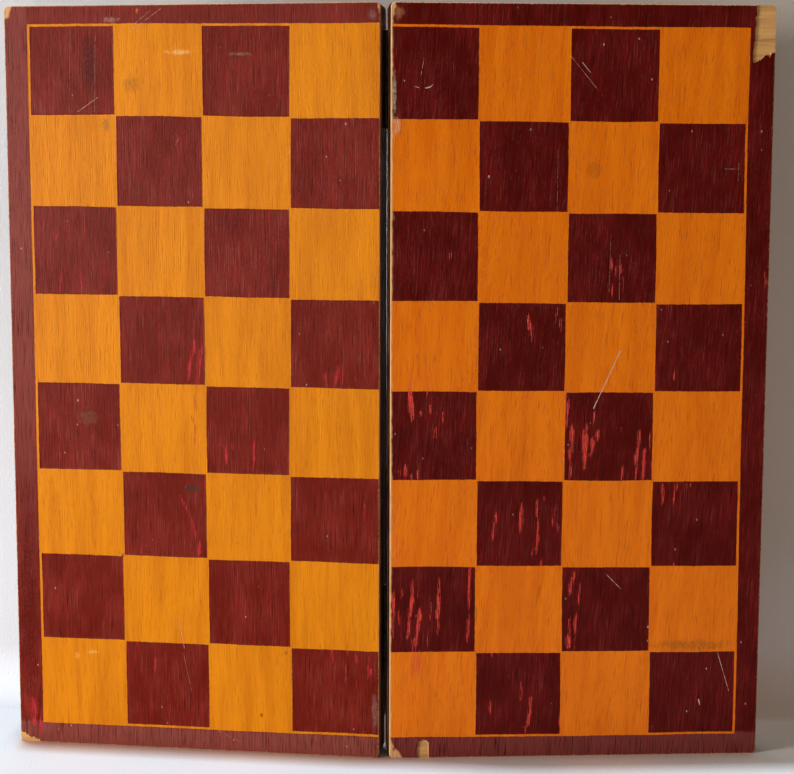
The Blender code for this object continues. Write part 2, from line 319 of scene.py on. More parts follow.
def build_draughts_board():
    """Dark squares, the bare line round them and the border; paint stands up a little at its edges.

    A square is dark where the sum of its row and column is odd. Its paint ends an inset away from
    the ruled lines, and a little further out on the outermost lines, where there is no neighbour.
    """
    tree, result, place, ruled_u, ruled_z, parity = new_group(
        "draughts_board", {"Vector": None, "Ruled U": 0.0, "Ruled Z": 0.0, "Parity": 0.0},
        ["Dark", "Brush Edge", "Border"])
    slow = vector("SUBTRACT", noise(place, 0.03, 1.0, out="Color"), (0.5, 0.5, 0.5))
    fine = vector("SUBTRACT", noise(place, 0.45, out="Color"), (0.5, 0.5, 0.5))
    wander_u, wander_z, _ = parts(vector("ADD", stretch(slow, 0.5), stretch(fine, 0.55)))
    u, z = ruled_u + wander_u - FIRST_LINE, ruled_z + wander_z
    field = SQUARE * SQUARES_EACH_WAY
    within = [calc("MAXIMUM", calc("MINIMUM", way, field - 0.01), 0.01 - field) for way in (u, z)]
    column, row = (calc("FLOOR", way / SQUARE) for way in within)
    odd = calc("FLOORED_MODULO", column + row + parity, 2.0)
    outer_u, outer_z = (calc("GREATER_THAN", abs(way), field - 5) * OUTER_PAINT for way in (u, z))
    to_line_u = calc("MAXIMUM", calc("PINGPONG", u, SQUARE / 2), SQUARE / 2 - u) + outer_u
    to_line_z = calc("PINGPONG", z, SQUARE / 2) + outer_z
    to_line = calc("MINIMUM", to_line_u, to_line_z)
    reach = calc("MAXIMUM", u, abs(z))
    last = field + OUTER_PAINT - PAINT_INSET
    inner = step(reach, last - SOFT, last + SOFT, 1.0, 0.0)
    square = calc("GREATER_THAN", odd, 0.5) * inner * step(to_line, PAINT_INSET - SOFT, PAINT_INSET + SOFT)
    border = step(reach, field + BARE_LINE - SOFT, field + BARE_LINE + SOFT)
    ridge = step(calc("MINIMUM", to_line, RIDGE), PAINT_INSET, RIDGE, 1.0, 0.0)
    fill(result, {"Dark": calc("MAXIMUM", square, border), "Border": border, "Brush Edge": ridge * square})
    return tree


DRAUGHTS_BOARD = build_draughts_board()
print("group:", DRAUGHTS_BOARD.name)

# %% [markdown]
# ## Rubs, scratches and specks
# Where a hand or a table rubbed the face, the dark coat went first and a bright scarlet ground
# showed in streaks along the grain. How much is rubbed is worked out on the mesh, stroke by stroke;
# a fine streaky noise then tears the edge of each stroke. A scratch is a thin line between two
# points: the group measures the distance to that line, and passes on the scratches before it. Specks
# are the middles of the cells of a Voronoi texture, kept only in some of the cells.

# %% Groups for rubs, scratches and specks
FLAT = (1.0, 0.0, 1.0)


def build_rubbed():
    """Streaks along the grain, where the amount and a streaky noise together pass a threshold."""
    tree, result, place, amount = new_group("rubbed", {"Vector": None, "Amount": 0.0}, ["Mask"])
    streak = noise(place, (2.6, 2.6, 0.09), 3.0, 0.75)
    torn = step(amount + (streak - 0.5) * 6.0, 0.62, 0.90)
    fill(result, {"Mask": torn * step(amount, 0.05, 0.4)})
    return tree


def build_scratch():
    """Distance to a line: the part of the way along it, held between 0 and 1, gives its nearest point."""
    tree, result, place, start, end, width, before = new_group(
        "scratch", {"Vector": None, "Start": None, "End": None, "Width": 0.3, "Before": 0.0}, ["Mask"])
    span = vector("SUBTRACT", end, start)
    away = vector("SUBTRACT", stretch(place, FLAT), start)
    along = calc("DIVIDE", vector("DOT_PRODUCT", away, span, out="Value"),
                 vector("DOT_PRODUCT", span, span, out="Value"), clamp=True)
    nearest = beside("VectorMath", {0: span, 3: along}, operation="SCALE")
    gap = vector("DISTANCE", away, nearest, out="Value")
    line = step(width * step(noise(place, 0.5), 0.3, 0.6, 0.35, 1.1) - gap, 0.0, 0.12)
    fill(result, {"Mask": calc("MAXIMUM", before, line)})
    return tree


def build_specks():
    """Dots in some of a Voronoi texture's cells, each of its own size."""
    tree, result, place, spacing, size, share = new_group(
        "specks", {"Vector": None, "Spacing": 8.0, "Size": 0.4, "Share": 0.3}, ["Mask"])
    place = beside("VectorMath", {0: stretch(place, (1.0, 0.0, 0.6)), 3: 1.0 / spacing}, operation="SCALE")
    cells = put_out(add_node(tree, "TexVoronoi", {"Vector": place, "Scale": 1.0}))
    chosen = put_out(add_node(tree, "SeparateColor", {0: cells["Color"]}))
    reach = size / spacing * (chosen["Green"] + 0.4)
    dot = step(cells["Distance"], reach * 0.6, reach, 1.0, 0.0)
    fill(result, {"Mask": dot * calc("LESS_THAN", chosen["Red"], share)})
    return tree


def build_smudge():
    """Distance from a middle, each axis measured in its own reach, with a ragged and patchy edge."""
    tree, result, place, middle, reach = new_group(
        "smudge", {"Vector": None, "Middle": None, "Reach": None}, ["Mask"])
    away = vector("DIVIDE", vector("SUBTRACT", stretch(place, FLAT), middle), reach)
    rag = noise(place, (0.45, 0.45, 0.30), 3.0, 0.6)
    fine = noise(place, (1.6, 1.6, 0.7), 3.0, 0.7)
    gap = vector("LENGTH", away, out="Value") + (rag - 0.5) * 1.6
    fill(result, {"Mask": step(gap, 0.35, 1.10, 1.0, 0.0) * step(fine, 0.36, 0.62, 0.15, 1.0)})
    return tree


RUBBED, SCRATCH, SPECKS, SMUDGE = build_rubbed(), build_scratch(), build_specks(), build_smudge()
print("groups:", RUBBED.name, SCRATCH.name, SPECKS.name, SMUDGE.name)

# %% [markdown]
# ## The face of a half as a surface
# A painted plywood sheet is flat, but its worn edge isn't sharp, its corners are round, and here and
# there the outer veneer has broken away. So the face is a grid of points in u and z: close together
# where something happens, and further apart elsewhere, because the grain is upright and a mark is
# long in z. Each point's depth is one sum: the flat face, less a quarter round near the outline,
# less the thickness of the veneer where it is missing.

# %% The grid and its outline
FACE = PANEL_HIGH[1]
BACK = PANEL_LOW[1]
LOW_U, HIGH_U = PANEL_LOW[0], PANEL_HIGH[0]
PLANED = {"left": 0.0, "right": 1.0}
HIGH_Z = PANEL_HIGH[2]
CORNER = 2.5
EASING = 0.6
VENEER = 0.8


def spaced(stretches):
    """Places along a line: each stretch (start, stop, step) is cut into equal steps."""
    parts = [np.linspace(a, b, round((b - a) / gap), endpoint=False) for a, b, gap in stretches]
    return np.concatenate([*parts, [stretches[-1][1]]])


U_LINES = spaced([(LOW_U, 1.2, 0.15), (1.2, 3.0, 0.36), (3.0, 184.0, 0.62), (184.0, HIGH_U - 2.7, 0.44),
                  (HIGH_U - 2.7, HIGH_U - 0.9, 0.36), (HIGH_U - 0.9, HIGH_U, 0.15)])
Z_LINES = spaced([(0.0, 0.9, 0.15), (0.9, 2.7, 0.36), (2.7, 13.5, 0.6), (13.5, 358.0, 2.0),
                  (358.0, HIGH_Z - 2.7, 0.6), (HIGH_Z - 2.7, HIGH_Z - 0.9, 0.36),
                  (HIGH_Z - 0.9, HIGH_Z, 0.15)])


def wander(place, seed, waves=5):
    """A smooth wandering number between about -1 and 1: a few sines whose lengths don't fit."""
    rng = np.random.default_rng(seed)
    rates, starts = rng.uniform(0.25, 2.2, waves), rng.uniform(0, math.tau, waves)
    return sum(np.sin(place * rate + start) for rate, start in zip(rates, starts)) / math.sqrt(waves)


def round_corners(u, z, low_u):
    """Bend the grid's square corners onto quarter circles.

    In a corner square with sides a and b from 0 to 1, the point (a, b) goes to
    (a sqrt(1 - b b / 2), b sqrt(1 - a a / 2)), which maps the square onto a quarter disc.
    """
    centre = np.array([(low_u + HIGH_U) / 2, HIGH_Z / 2])
    flat = np.array([(HIGH_U - low_u) / 2, HIGH_Z / 2]) - CORNER
    x, y = u - centre[0], z - centre[1]
    a = np.clip((np.abs(x) - flat[0]) / CORNER, 0, 1)
    b = np.clip((np.abs(y) - flat[1]) / CORNER, 0, 1)
    x = np.sign(x) * (np.minimum(np.abs(x), flat[0]) + CORNER * a * np.sqrt(1 - b * b / 2))
    y = np.sign(y) * (np.minimum(np.abs(y), flat[1]) + CORNER * b * np.sqrt(1 - a * a / 2))
    return x + centre[0], y + centre[1]


def depth_inside(u, z, low_u):
    """How far a point lies inside the rounded outline."""
    x = np.abs(u - (low_u + HIGH_U) / 2) - ((HIGH_U - low_u) / 2 - CORNER)
    y = np.abs(z - HIGH_Z / 2) - (HIGH_Z / 2 - CORNER)
    outside = np.hypot(np.maximum(x, 0), np.maximum(y, 0))
    return CORNER - outside - np.minimum(np.maximum(x, y), 0)


def inside_polygon(u, z, corners):
    """Signed distance to a polygon, positive inside.

    The distance is the least one to its sides; a point is inside when a ray from it crosses the
    sides an odd number of times.
    """
    corners = np.array(corners, float)
    least, odd = np.full(u.shape, np.inf), np.zeros(u.shape, bool)
    for (au, az), (bu, bz) in zip(corners, np.roll(corners, -1, axis=0)):
        along, length = (u - au) * (bu - au) + (z - az) * (bz - az), (bu - au) ** 2 + (bz - az) ** 2
        share = np.clip(along / length, 0, 1)
        least = np.minimum(least, np.hypot(u - au - share * (bu - au), z - az - share * (bz - az)))
        odd ^= ((az > z) != (bz > z)) & (u < (bu - au) * (z - az) / ((bz - az) or 1e-9) + au)
    return np.where(odd, least, -least)


def s_curve(value, low, high):
    """0 below low, 1 above high, 3t^2 - 2t^3 between them."""
    t = np.clip((value - low) / (high - low), 0, 1)
    return t * t * (3 - 2 * t)


print("grid:", len(U_LINES), "by", len(Z_LINES), "points")

# %% [markdown]
# ## Where the face is broken, bare or rubbed
# Wear has reasons. Corners are knocked, so veneer breaks there, along the grain on one side and
# ragged across it. The edges beside the hinges rub on each other, so they are bare. Stones and
# men are pushed along the grain, so the rubs are upright. Each mark is written down in the
# half's own millimetres, in a few tables.

# %% Tables of marks
CHIPS = {
    "left": [
        [(198.0, 5.6), (194.6, 4.9), (194.1, 3.4), (193.3, 4.5), (192.3, 2.8), (191.2, 2.4), (190.3, 3.2),
         (188.9, 2.0), (186.6, 1.0), (186.0, -2.0), (198.0, -2.0)],
    ],
    "right": [
        [(187.0, 393.1), (186.9, 382.8), (186.6, 378.7), (186.0, 372.3), (185.5, 362.6), (189.0, 364.0),
         (191.6, 366.5), (193.4, 366.7), (194.0, 365.3), (195.4, 367.9), (198.0, 367.6), (198.0, 393.1)],
        [(16.7, 9.1), (18.0, 9.6), (20.9, 9.6), (22.4, 8.5), (22.3, -2.0), (15.9, -2.0), (16.2, 5.5)],
    ],
}
BARE = {
    "left": [
        [(197.0, 393.1), (192.5, 393.1), (193.6, 389.7), (194.6, 386.1), (197.0, 385.1)],
        [(-1.0, 393.1), (2.4, 393.1), (1.4, 390.3), (0.9, 387.0), (-1.0, 384.0)],
    ],
    "right": [
        [(-1.0, -2.0), (2.3, -2.0), (2.0, 60.0), (2.4, 130.0), (2.1, 200.0), (2.3, 290.0), (2.2, 395.0),
         (-1.0, 395.0)],
        [(-1.0, 392.9), (5.0, 392.9), (4.2, 390.9), (3.2, 388.7), (2.4, 384.1), (-1.0, 381.1)],
        [(-1.0, 26.1), (2.2, 23.4), (1.9, 16.1), (2.4, 8.8), (3.4, 5.0), (5.8, 3.6), (8.9, -2.0),
         (-1.0, -2.0)],
    ],
}
MIDDLE_HEIGHT = {"left": 196.6, "right": 194.8}
UPRIGHT_DRIFT = {
    "left": [[0.0] * 8,
             [1.07, 1.51, 1.67, 1.23, 1.10, 0.64, 0.83, 0.28],
             [-0.75, -0.34, -0.27, 0.07, -0.21, 0.36, 0.16, 0.63],
             [-0.74, -0.58, -0.44, -0.17, 0.13, 0.17, 0.52, 0.35],
             [-1.45, -1.40, -1.25, -1.15, -1.10, -1.05, -0.80, -0.80]],
    "right": [[0.0] * 8,
              [0.54, 0.39, 0.14, 0.40, 0.17, 0.40, -0.13, 0.06],
              [0.03, -0.74, -0.37, -0.41, 0.12, -0.21, 0.30, 0.02],
              [0.60, 0.48, -0.01, 0.42, 0.10, 0.35, -0.31, -0.07],
              [-0.10, -0.20, -0.55, -0.75, -0.80, -1.05, -1.55, -1.60]],
}
LEVEL_DRIFT = {
    "left": [[0.48, 0.29, 0.19, 0.03], [-0.41, -0.60, -0.15, -0.50], [-0.37, -0.13, -0.26, 0.32],
             [-0.72, -0.88, -0.28, -0.61], [-0.81, -0.10, -0.28, 0.41], [-0.28, -0.34, 0.49, 0.30],
             [-0.68, 0.16, 0.14, 0.97], [-0.07, -0.04, 1.42, 1.14], [-0.68, -0.31, 0.27, 0.41]],
    "right": [[2.11, 1.67, 1.61, 1.70], [0.33, 0.07, -0.44, -0.45], [0.82, -0.11, -0.33, -0.92],
              [-0.32, -0.31, -1.34, -1.06], [0.82, -0.14, 0.06, -0.56], [0.45, 0.36, -0.52, -0.36],
              [0.99, -0.04, 0.14, -0.48], [0.33, 0.55, -0.47, -0.22], [0.48, 0.22, 0.10, 0.12]],
}
RUBS = {
    "left": [
        (98.4, 220.3, 101.5, 198.5, 2.0), (95.6, 213.3, 96.5, 193.8, 1.6), (94.8, 216.9, 94.9, 210.5, 0.8),
        (155.4, 291.4, 155.9, 274.8, 0.8), (170.4, 283.0, 171.5, 266.3, 0.5),
        (173.0, 266.3, 174.0, 255.1, 0.5), (158.2, 263.6, 158.2, 244.0, 0.5),
        (168.8, 257.9, 169.8, 243.9, 0.5), (161.4, 248.2, 161.1, 243.3, 0.5),
        (68.0, 248.5, 68.6, 243.0, 1.6), (98.1, 221.0, 98.2, 213.3, 2.2), (93.5, 217.6, 95.6, 205.6, 1.6),
        (95.8, 205.6, 95.1, 200.0, 1.2), (96.9, 199.3, 97.3, 193.8, 1.5), (28.8, 204.0, 28.4, 197.8, 1.6),
        (21.8, 207.6, 24.1, 195.8, 2.2), (19.7, 207.0, 19.7, 199.3, 0.7), (12.3, 205.0, 12.9, 199.4, 0.8),
        (81.6, 165.1, 81.2, 154.5, 2.2), (84.5, 167.9, 84.6, 165.0, 1.4), (77.8, 165.9, 77.7, 163.1, 1.6),
        (66.4, 169.7, 66.9, 152.0, 1.6), (97.3, 196.6, 97.7, 188.1, 1.2), (97.9, 176.1, 98.0, 169.0, 1.4),
        (99.6, 180.3, 98.2, 176.1, 1.6), (8.1, 137.3, 8.8, 123.2, 0.8), (100.7, 204.2, 101.5, 198.6, 2.0),
        (96.8, 200.1, 96.5, 196.6, 1.8), (98.0, 190.2, 97.4, 181.0, 1.4), (97.8, 176.1, 98.3, 164.7, 1.2),
        (106.5, 138.1, 100.2, 124.7, 1.6), (100.2, 124.7, 98.5, 116.1, 1.8),
        (127.7, 110.9, 128.5, 103.6, 1.2), (96.0, 113.3, 96.8, 106.1, 3.0),
        (170.6, 171.6, 172.2, 151.4, 0.6), (167.4, 194.5, 167.9, 179.5, 0.5), (25.3, 57.6, 25.0, 51.8, 1.8),
        (17.1, 61.5, 17.1, 55.0, 1.2), (12.6, 56.7, 12.6, 50.5, 1.8), (12.3, 40.8, 13.0, 35.7, 1.2),
        (5.9, 54.8, 6.2, 42.5, 1.0), (4.8, 48.3, 5.2, 44.7, 1.8), (18.0, 50.7, 18.0, 40.5, 0.8),
        (189.5, 24.1, 189.5, 9.1, 4.5), (185.7, 13.0, 185.8, 4.8, 3.0), (120.9, 49.3, 121.7, 41.9, 1.5),
    ],
    "right": [
        (12.7, 204.6, 10.7, 194.9, 1.0), (21.3, 206.0, 19.7, 191.4, 1.2), (11.7, 195.6, 12.5, 180.3, 4.2),
        (21.8, 188.6, 21.7, 183.1, 1.4), (17.1, 184.5, 17.1, 181.7, 1.6), (24.6, 176.8, 24.4, 169.8, 1.8),
        (28.7, 183.7, 28.8, 178.8, 0.8), (6.0, 154.5, 6.7, 151.6, 1.0), (9.4, 156.5, 9.5, 150.2, 2.6),
        (12.6, 152.3, 12.9, 148.8, 1.2), (15.6, 154.4, 15.4, 148.8, 1.0), (93.7, 189.8, 93.4, 182.1, 3.0),
        (92.8, 182.1, 92.5, 175.8, 2.2), (95.6, 177.2, 96.1, 166.6, 2.6), (95.8, 166.6, 94.8, 159.6, 2.6),
        (90.8, 170.9, 90.9, 154.0, 0.8), (95.6, 158.2, 95.0, 149.7, 1.4), (102.0, 174.3, 102.6, 156.7, 2.6),
        (56.3, 131.6, 56.7, 126.6, 1.6), (55.8, 126.6, 54.7, 116.7, 1.2), (70.1, 135.7, 69.7, 123.0, 2.2),
        (69.7, 128.6, 69.4, 120.8, 1.6), (78.1, 137.8, 78.1, 129.3, 1.6), (78.8, 129.3, 78.2, 110.1, 1.8),
        (81.8, 139.9, 81.8, 137.1, 1.0), (87.8, 135.6, 86.2, 124.3, 1.0), (89.0, 126.4, 89.4, 121.4, 1.4),
        (76.5, 112.2, 75.5, 109.4, 0.9), (80.8, 107.2, 80.5, 103.6, 0.9), (43.8, 116.8, 43.4, 104.0, 1.0),
        (31.8, 112.6, 31.7, 104.1, 0.7), (107.4, 183.9, 106.7, 178.1, 1.2),
        (103.5, 177.4, 103.9, 173.7, 2.2), (102.8, 173.7, 103.3, 164.9, 3.8),
        (103.3, 164.9, 102.7, 154.6, 2.6), (109.3, 174.4, 109.4, 170.0, 2.6),
        (106.5, 170.0, 107.0, 164.1, 2.8), (106.6, 164.9, 105.2, 160.5, 1.6),
        (130.9, 175.0, 130.8, 164.8, 1.8), (130.4, 164.8, 129.5, 155.9, 2.6),
        (130.2, 155.9, 129.6, 148.6, 1.4), (134.1, 164.7, 133.5, 154.4, 2.4),
        (133.5, 154.4, 133.3, 147.8, 2.6), (137.2, 173.5, 136.6, 164.7, 1.0),
        (137.9, 158.8, 138.0, 151.5, 1.0), (122.5, 156.0, 122.3, 148.6, 1.2),
        (144.0, 146.3, 143.9, 135.9, 1.8), (150.3, 147.0, 150.1, 135.8, 0.9),
        (151.7, 146.9, 151.4, 143.2, 0.9), (156.5, 146.9, 156.6, 144.0, 1.0),
        (158.7, 146.9, 158.6, 144.7, 0.9), (150.8, 104.6, 150.9, 101.6, 0.9),
        (121.4, 176.5, 121.4, 173.6, 0.8), (13.2, 95.1, 13.5, 87.9, 2.4), (13.2, 87.9, 11.8, 75.8, 3.0),
        (11.8, 75.8, 10.8, 64.3, 2.0), (16.3, 93.6, 16.0, 87.9, 0.9), (17.4, 80.7, 17.1, 74.3, 3.2),
        (16.4, 74.3, 15.7, 67.1, 2.6), (13.6, 64.3, 13.7, 57.8, 2.0), (15.7, 68.6, 15.1, 59.9, 2.2),
        (13.7, 58.5, 13.7, 51.3, 1.6), (16.8, 58.5, 15.5, 47.0, 1.4), (27.2, 97.1, 26.9, 87.8, 2.0),
        (26.9, 87.8, 27.3, 80.6, 2.8), (26.4, 80.7, 26.3, 74.2, 2.8), (27.0, 74.2, 26.3, 67.0, 1.4),
        (43.3, 102.7, 43.0, 92.7, 2.6), (43.0, 92.7, 42.7, 79.8, 1.8), (43.1, 76.9, 42.2, 64.0, 2.0),
        (98.2, 100.7, 97.6, 94.3, 1.6), (96.9, 95.7, 95.9, 87.9, 2.2), (101.2, 92.8, 100.3, 79.9, 1.0),
        (96.1, 74.9, 96.3, 66.2, 1.6), (99.6, 77.0, 99.1, 66.2, 2.0), (95.2, 65.5, 95.7, 59.0, 4.0),
        (99.1, 66.2, 98.9, 57.5, 0.8), (70.7, 41.2, 70.8, 31.7, 1.6), (54.5, 29.8, 54.4, 24.0, 2.0),
        (76.1, 33.1, 75.7, 25.9, 1.8), (75.7, 25.9, 74.9, 17.1, 2.6), (73.5, 17.1, 73.2, 12.7, 1.0),
        (55.3, 58.0, 55.3, 53.7, 1.2), (91.6, 22.7, 91.5, 17.6, 1.0), (8.3, 91.6, 7.6, 85.9, 1.4),
        (23.0, 83.6, 22.4, 71.4, 1.0), (21.4, 68.5, 21.6, 61.3, 0.9), (6.2, 79.4, 6.3, 70.8, 1.0),
        (3.4, 90.2, 3.1, 64.4, 1.4), (32.0, 266.4, 31.7, 263.6, 1.3), (72.2, 234.8, 73.0, 227.2, 2.4),
        (74.7, 227.9, 74.1, 221.7, 1.0), (88.9, 232.1, 88.6, 225.1, 1.3), (87.1, 238.3, 86.5, 229.3, 0.7),
        (12.7, 203.8, 12.1, 195.7, 1.4), (21.0, 208.7, 20.4, 195.6, 1.0), (15.4, 214.9, 14.8, 207.3, 0.8),
        (114.9, 263.4, 115.0, 257.7, 0.9), (117.1, 259.1, 117.2, 254.8, 0.9),
        (119.6, 260.6, 119.7, 255.6, 1.0), (120.9, 253.4, 120.5, 244.1, 0.9),
        (115.4, 250.5, 115.5, 244.1, 0.8), (148.6, 205.0, 148.7, 200.6, 0.9),
        (194.8, 255.6, 195.7, 248.4, 0.9), (14.6, 57.0, 12.9, 41.0, 1.9), (17.2, 55.0, 16.8, 45.0, 1.4),
        (5.1, 120.0, 5.0, 104.0, 1.2), (92.6, 196.0, 92.4, 186.0, 1.3), (43.9, 122.0, 43.6, 104.0, 1.3),
    ],
}


def between(table, row, column):
    """A table read between its entries: the four nearest ones, weighted by how near they are."""
    table = np.array(table)
    row, column = np.clip(row, 0, table.shape[0] - 1), np.clip(column, 0, table.shape[1] - 1)
    i = np.minimum(row.astype(int), table.shape[0] - 2)
    j = np.minimum(column.astype(int), table.shape[1] - 2)
    a, b = row - i, column - j
    return ((1 - a) * (1 - b) * table[i, j] + a * (1 - b) * table[i + 1, j]
            + (1 - a) * b * table[i, j + 1] + a * b * table[i + 1, j + 1])


def ruled_place(u, z, word):
    """Where a point would lie if the lines of the squares had been ruled quite true.

    The drift of the upright lines is known at the middle of each row of squares, and that of the
    level lines at the middle of each column; both are read between and subtracted.
    """
    across, up = (u - FIRST_LINE) / SQUARE, (z - MIDDLE_HEIGHT[word]) / SQUARE + SQUARES_EACH_WAY
    return (u - between(UPRIGHT_DRIFT[word], across, up - 0.5),
            z - MIDDLE_HEIGHT[word] - between(LEVEL_DRIFT[word], up, across - 0.5))


def stroke_strength(u, z, strokes):
    """How much of each point is rubbed, from 0 to 1.

    A stroke's half width swells from its ends to its middle as 0.3 + 0.7 sqrt(4 t (1 - t)), and
    its strength falls from 1 to 0 over 1.5 mm about that width.
    """
    most = np.zeros(u.shape)
    for top_u, top_z, end_u, end_z, width in strokes:
        du, dz = end_u - top_u, end_z - top_z
        t = np.clip(((u - top_u) * du + (z - top_z) * dz) / (du * du + dz * dz), 0, 1)
        gap = np.hypot(u - top_u - t * du, (z - top_z - t * dz) * 0.6)
        half = 0.38 * width * (0.3 + 0.7 * np.sqrt(4 * t * (1 - t)))
        most = np.maximum(most, np.clip(0.5 + (half - gap) / 1.5, 0, 1))
    return most


print("marks:", {word: len(rows) for word, rows in RUBS.items()})

# %% [markdown]
# ## One closed sheet
# The face's grid, a strip of two rings round its edge, and one flat back make a closed sheet. The
# marks are kept on its points as plain numbers, which the finishes read as attributes: rubbed is
# the scarlet wear, bare is wood with no paint, and core is the inner ply, whose grain is level.

# %% Building a panel
PARTS = {"face": 0, "edge": 1, "back": 2}


def sheet(word):
    """A half's panel as arrays: points, quads, one back outline, part numbers and marks.

    Depth = face - easing (1 - sqrt(1 - (1 - d / easing)^2)) near the outline, where d is the
    distance inside it, less the veneer where a chip's signed distance is positive.
    """
    side = SIDES[word]
    low_u = LOW_U + PLANED[word]
    lines = HIGH_U - (HIGH_U - U_LINES) * (HIGH_U - low_u) / (HIGH_U - LOW_U)
    u, z = round_corners(*np.meshgrid(lines, Z_LINES, indexing="ij"), low_u)
    inside = depth_inside(u, z, low_u)
    easing = EASING * (1 + 0.22 * wander((u + z) * 0.35, 4 + side))
    short = np.clip(1 - inside / easing, 0, 1)
    v = FACE - easing * (1 - np.sqrt(1 - short * short))
    ragged = 0.22 * wander(u * 3.1 + z * 0.7, 11)
    core = np.zeros(u.shape)
    for corners in CHIPS[word]:
        core = np.maximum(core, s_curve(inside_polygon(u, z, corners) + ragged, -0.12, 0.12))
    v = np.minimum(v, FACE - (VENEER + 0.05 * wander(z * 2.0, 23)) * core)
    rough = np.where(u < 3, 0.22, 0.5) * wander(u * 1.3 + z * 0.9, 31 + side)
    bare = np.zeros(u.shape)
    for corners in BARE[word]:
        bare = np.maximum(bare, s_curve(inside_polygon(u, z, corners) + rough, -0.5, 0.5))
    ruled_u, ruled_z = ruled_place(u, z, word)
    marks = {"rubbed": stroke_strength(u, z, RUBS[word]), "bare": bare, "core": core, "inside": inside,
             "ruled_u": ruled_u, "ruled_z": ruled_z}

    count_u, count_z = u.shape
    index = np.arange(u.size).reshape(u.shape)
    quads = np.stack([index[:-1, :-1], index[1:, :-1], index[1:, 1:], index[:-1, 1:]], -1).reshape(-1, 4)
    rim = np.concatenate([index[:, 0], index[-1, 1:], index[-2::-1, -1], index[0, -2:0:-1]])
    rings = [rim, rim.size * 0 + u.size + np.arange(rim.size), u.size + rim.size + np.arange(rim.size)]
    levels = [(FACE + BACK) / 2 - 0.3, BACK]
    strips = [np.stack([low, np.roll(low, -1), np.roll(high, -1), high], -1)
              for high, low in zip(rings, rings[1:])]
    part = np.concatenate([np.zeros(len(quads), int), np.full(2 * rim.size, PARTS["edge"]), [PARTS["back"]]])
    flat_u, flat_z = u.ravel()[rim], z.ravel()[rim]
    all_u, all_z = np.concatenate([u.ravel(), flat_u, flat_u]), np.concatenate([z.ravel(), flat_z, flat_z])
    all_v = np.concatenate([v.ravel(), *[np.full(rim.size, level) for level in levels]])
    marks = {name: np.concatenate([values.ravel(), values.ravel()[rim], np.zeros(rim.size)])
             for name, values in marks.items()}
    quads, back = np.concatenate([quads, *strips]), rings[-1][::-1]
    if side < 0:
        quads, back = quads[:, ::-1], back[::-1]
    return to_frame(side, all_u, all_v, all_z), quads, back, part, marks


def mesh_from(name, points, quads, back, part, marks):
    """The arrays as a mesh: corners, faces, part numbers and marks are each set in one call."""
    mesh = bpy.data.meshes.new(name)
    mesh.vertices.add(len(points))
    mesh.vertices.foreach_set("co", points.ravel())
    mesh.loops.add(quads.size + len(back))
    mesh.loops.foreach_set("vertex_index", np.concatenate([quads.ravel(), back]))
    mesh.polygons.add(len(quads) + 1)
    mesh.polygons.foreach_set("loop_start", np.arange(len(quads) + 1) * 4)
    mesh.update(calc_edges=True)
    mesh.validate()
    mesh.polygons.foreach_set("material_index", part)
    mesh.polygons.foreach_set("use_smooth", np.ones(len(part), bool))
    mesh.set_sharp_from_angle(angle=math.radians(40))
    for label, values in marks.items():
        attribute = mesh.attributes.new(label, "FLOAT", "POINT")
        attribute.data.foreach_set("value", values.astype(np.float32))
    return mesh


def add_panel(word):
    """The panel of a half, riding on its body in place of the CAD sheet."""
    panel = bpy.data.objects.new(word + "_painted_panel", mesh_from(word + "_painted_panel", *sheet(word)))
    bpy.context.scene.collection.objects.link(panel)
    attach(panel, word + "_half")
    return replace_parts(panel, word + "_panel")


panels = {word: add_panel(word) for word in SIDES}
print({word: len(panel.data.polygons) for word, panel in panels.items()})

# %% [markdown]
# ## Paint and varnish on the face
# From the wood up: pale veneer under an orange varnish, then the dark red-brown coat of the squares
# and the border, then the wear. The two halves differ: the left one is yellower and its dark coat
# is lighter and hazy, the right one is deeper and redder. Some of this is their different lives,
# and some is painted light: the left half's lighter, hazy coat is partly a painted sheen, the glint
# of the light from the left. So the finish is one function, and each half gives it its own colours.

# %% The painted face
# The left half's lighter coat and haze, and its lighter worn border, are partly a painted sheen: the glint
# of the light from the left, painted into the colour. The rest is real paint and wear.
FACES = {
    "left": {"deep": (0.60, 0.172, 0.0010), "bright": (0.72, 0.226, 0.0020), "fleck": (0.36, 0.075, 0.002),
             "coat": (0.140, 0.0070, 0.0015), "coat_worn": (0.175, 0.0140, 0.0060),
             "haze_and_sheen": (0.30, 0.095, 0.075), "ruddy": (0.270, 0.011, 0.010),
             "scarlet": (0.56, 0.035, 0.042), "crack": (0.045, 0.002, 0.001), "parity": 1.0,
             "fleck_share": 0.42, "fleck_depth": 0.45, "gloss": 0.08, "border_wear_and_sheen": 0.28,
             "low_wear": 0.45, "lean": 0.0, "relief": 0.00024},
    "right": {"deep": (0.70, 0.142, 0.0015), "bright": (0.80, 0.185, 0.0030), "fleck": (0.38, 0.058, 0.002),
              "coat": (0.080, 0.0022, 0.0008), "coat_worn": (0.108, 0.0048, 0.0030),
              "haze_and_sheen": (0.25, 0.058, 0.050), "ruddy": (0.195, 0.005, 0.004),
              "scarlet": (0.80, 0.062, 0.040), "crack": (0.030, 0.001, 0.001), "parity": 0.0,
              "fleck_share": 0.62, "fleck_depth": 0.60, "gloss": 0.12, "border_wear_and_sheen": 0.0,
              "low_wear": 0.50, "lean": -0.06, "relief": 0.00013},
}
BARE_WOOD = (0.72, 0.40, 0.18)
CORE_WOOD = (0.62, 0.33, 0.095)
CORE_DARK = (0.36, 0.15, 0.035)
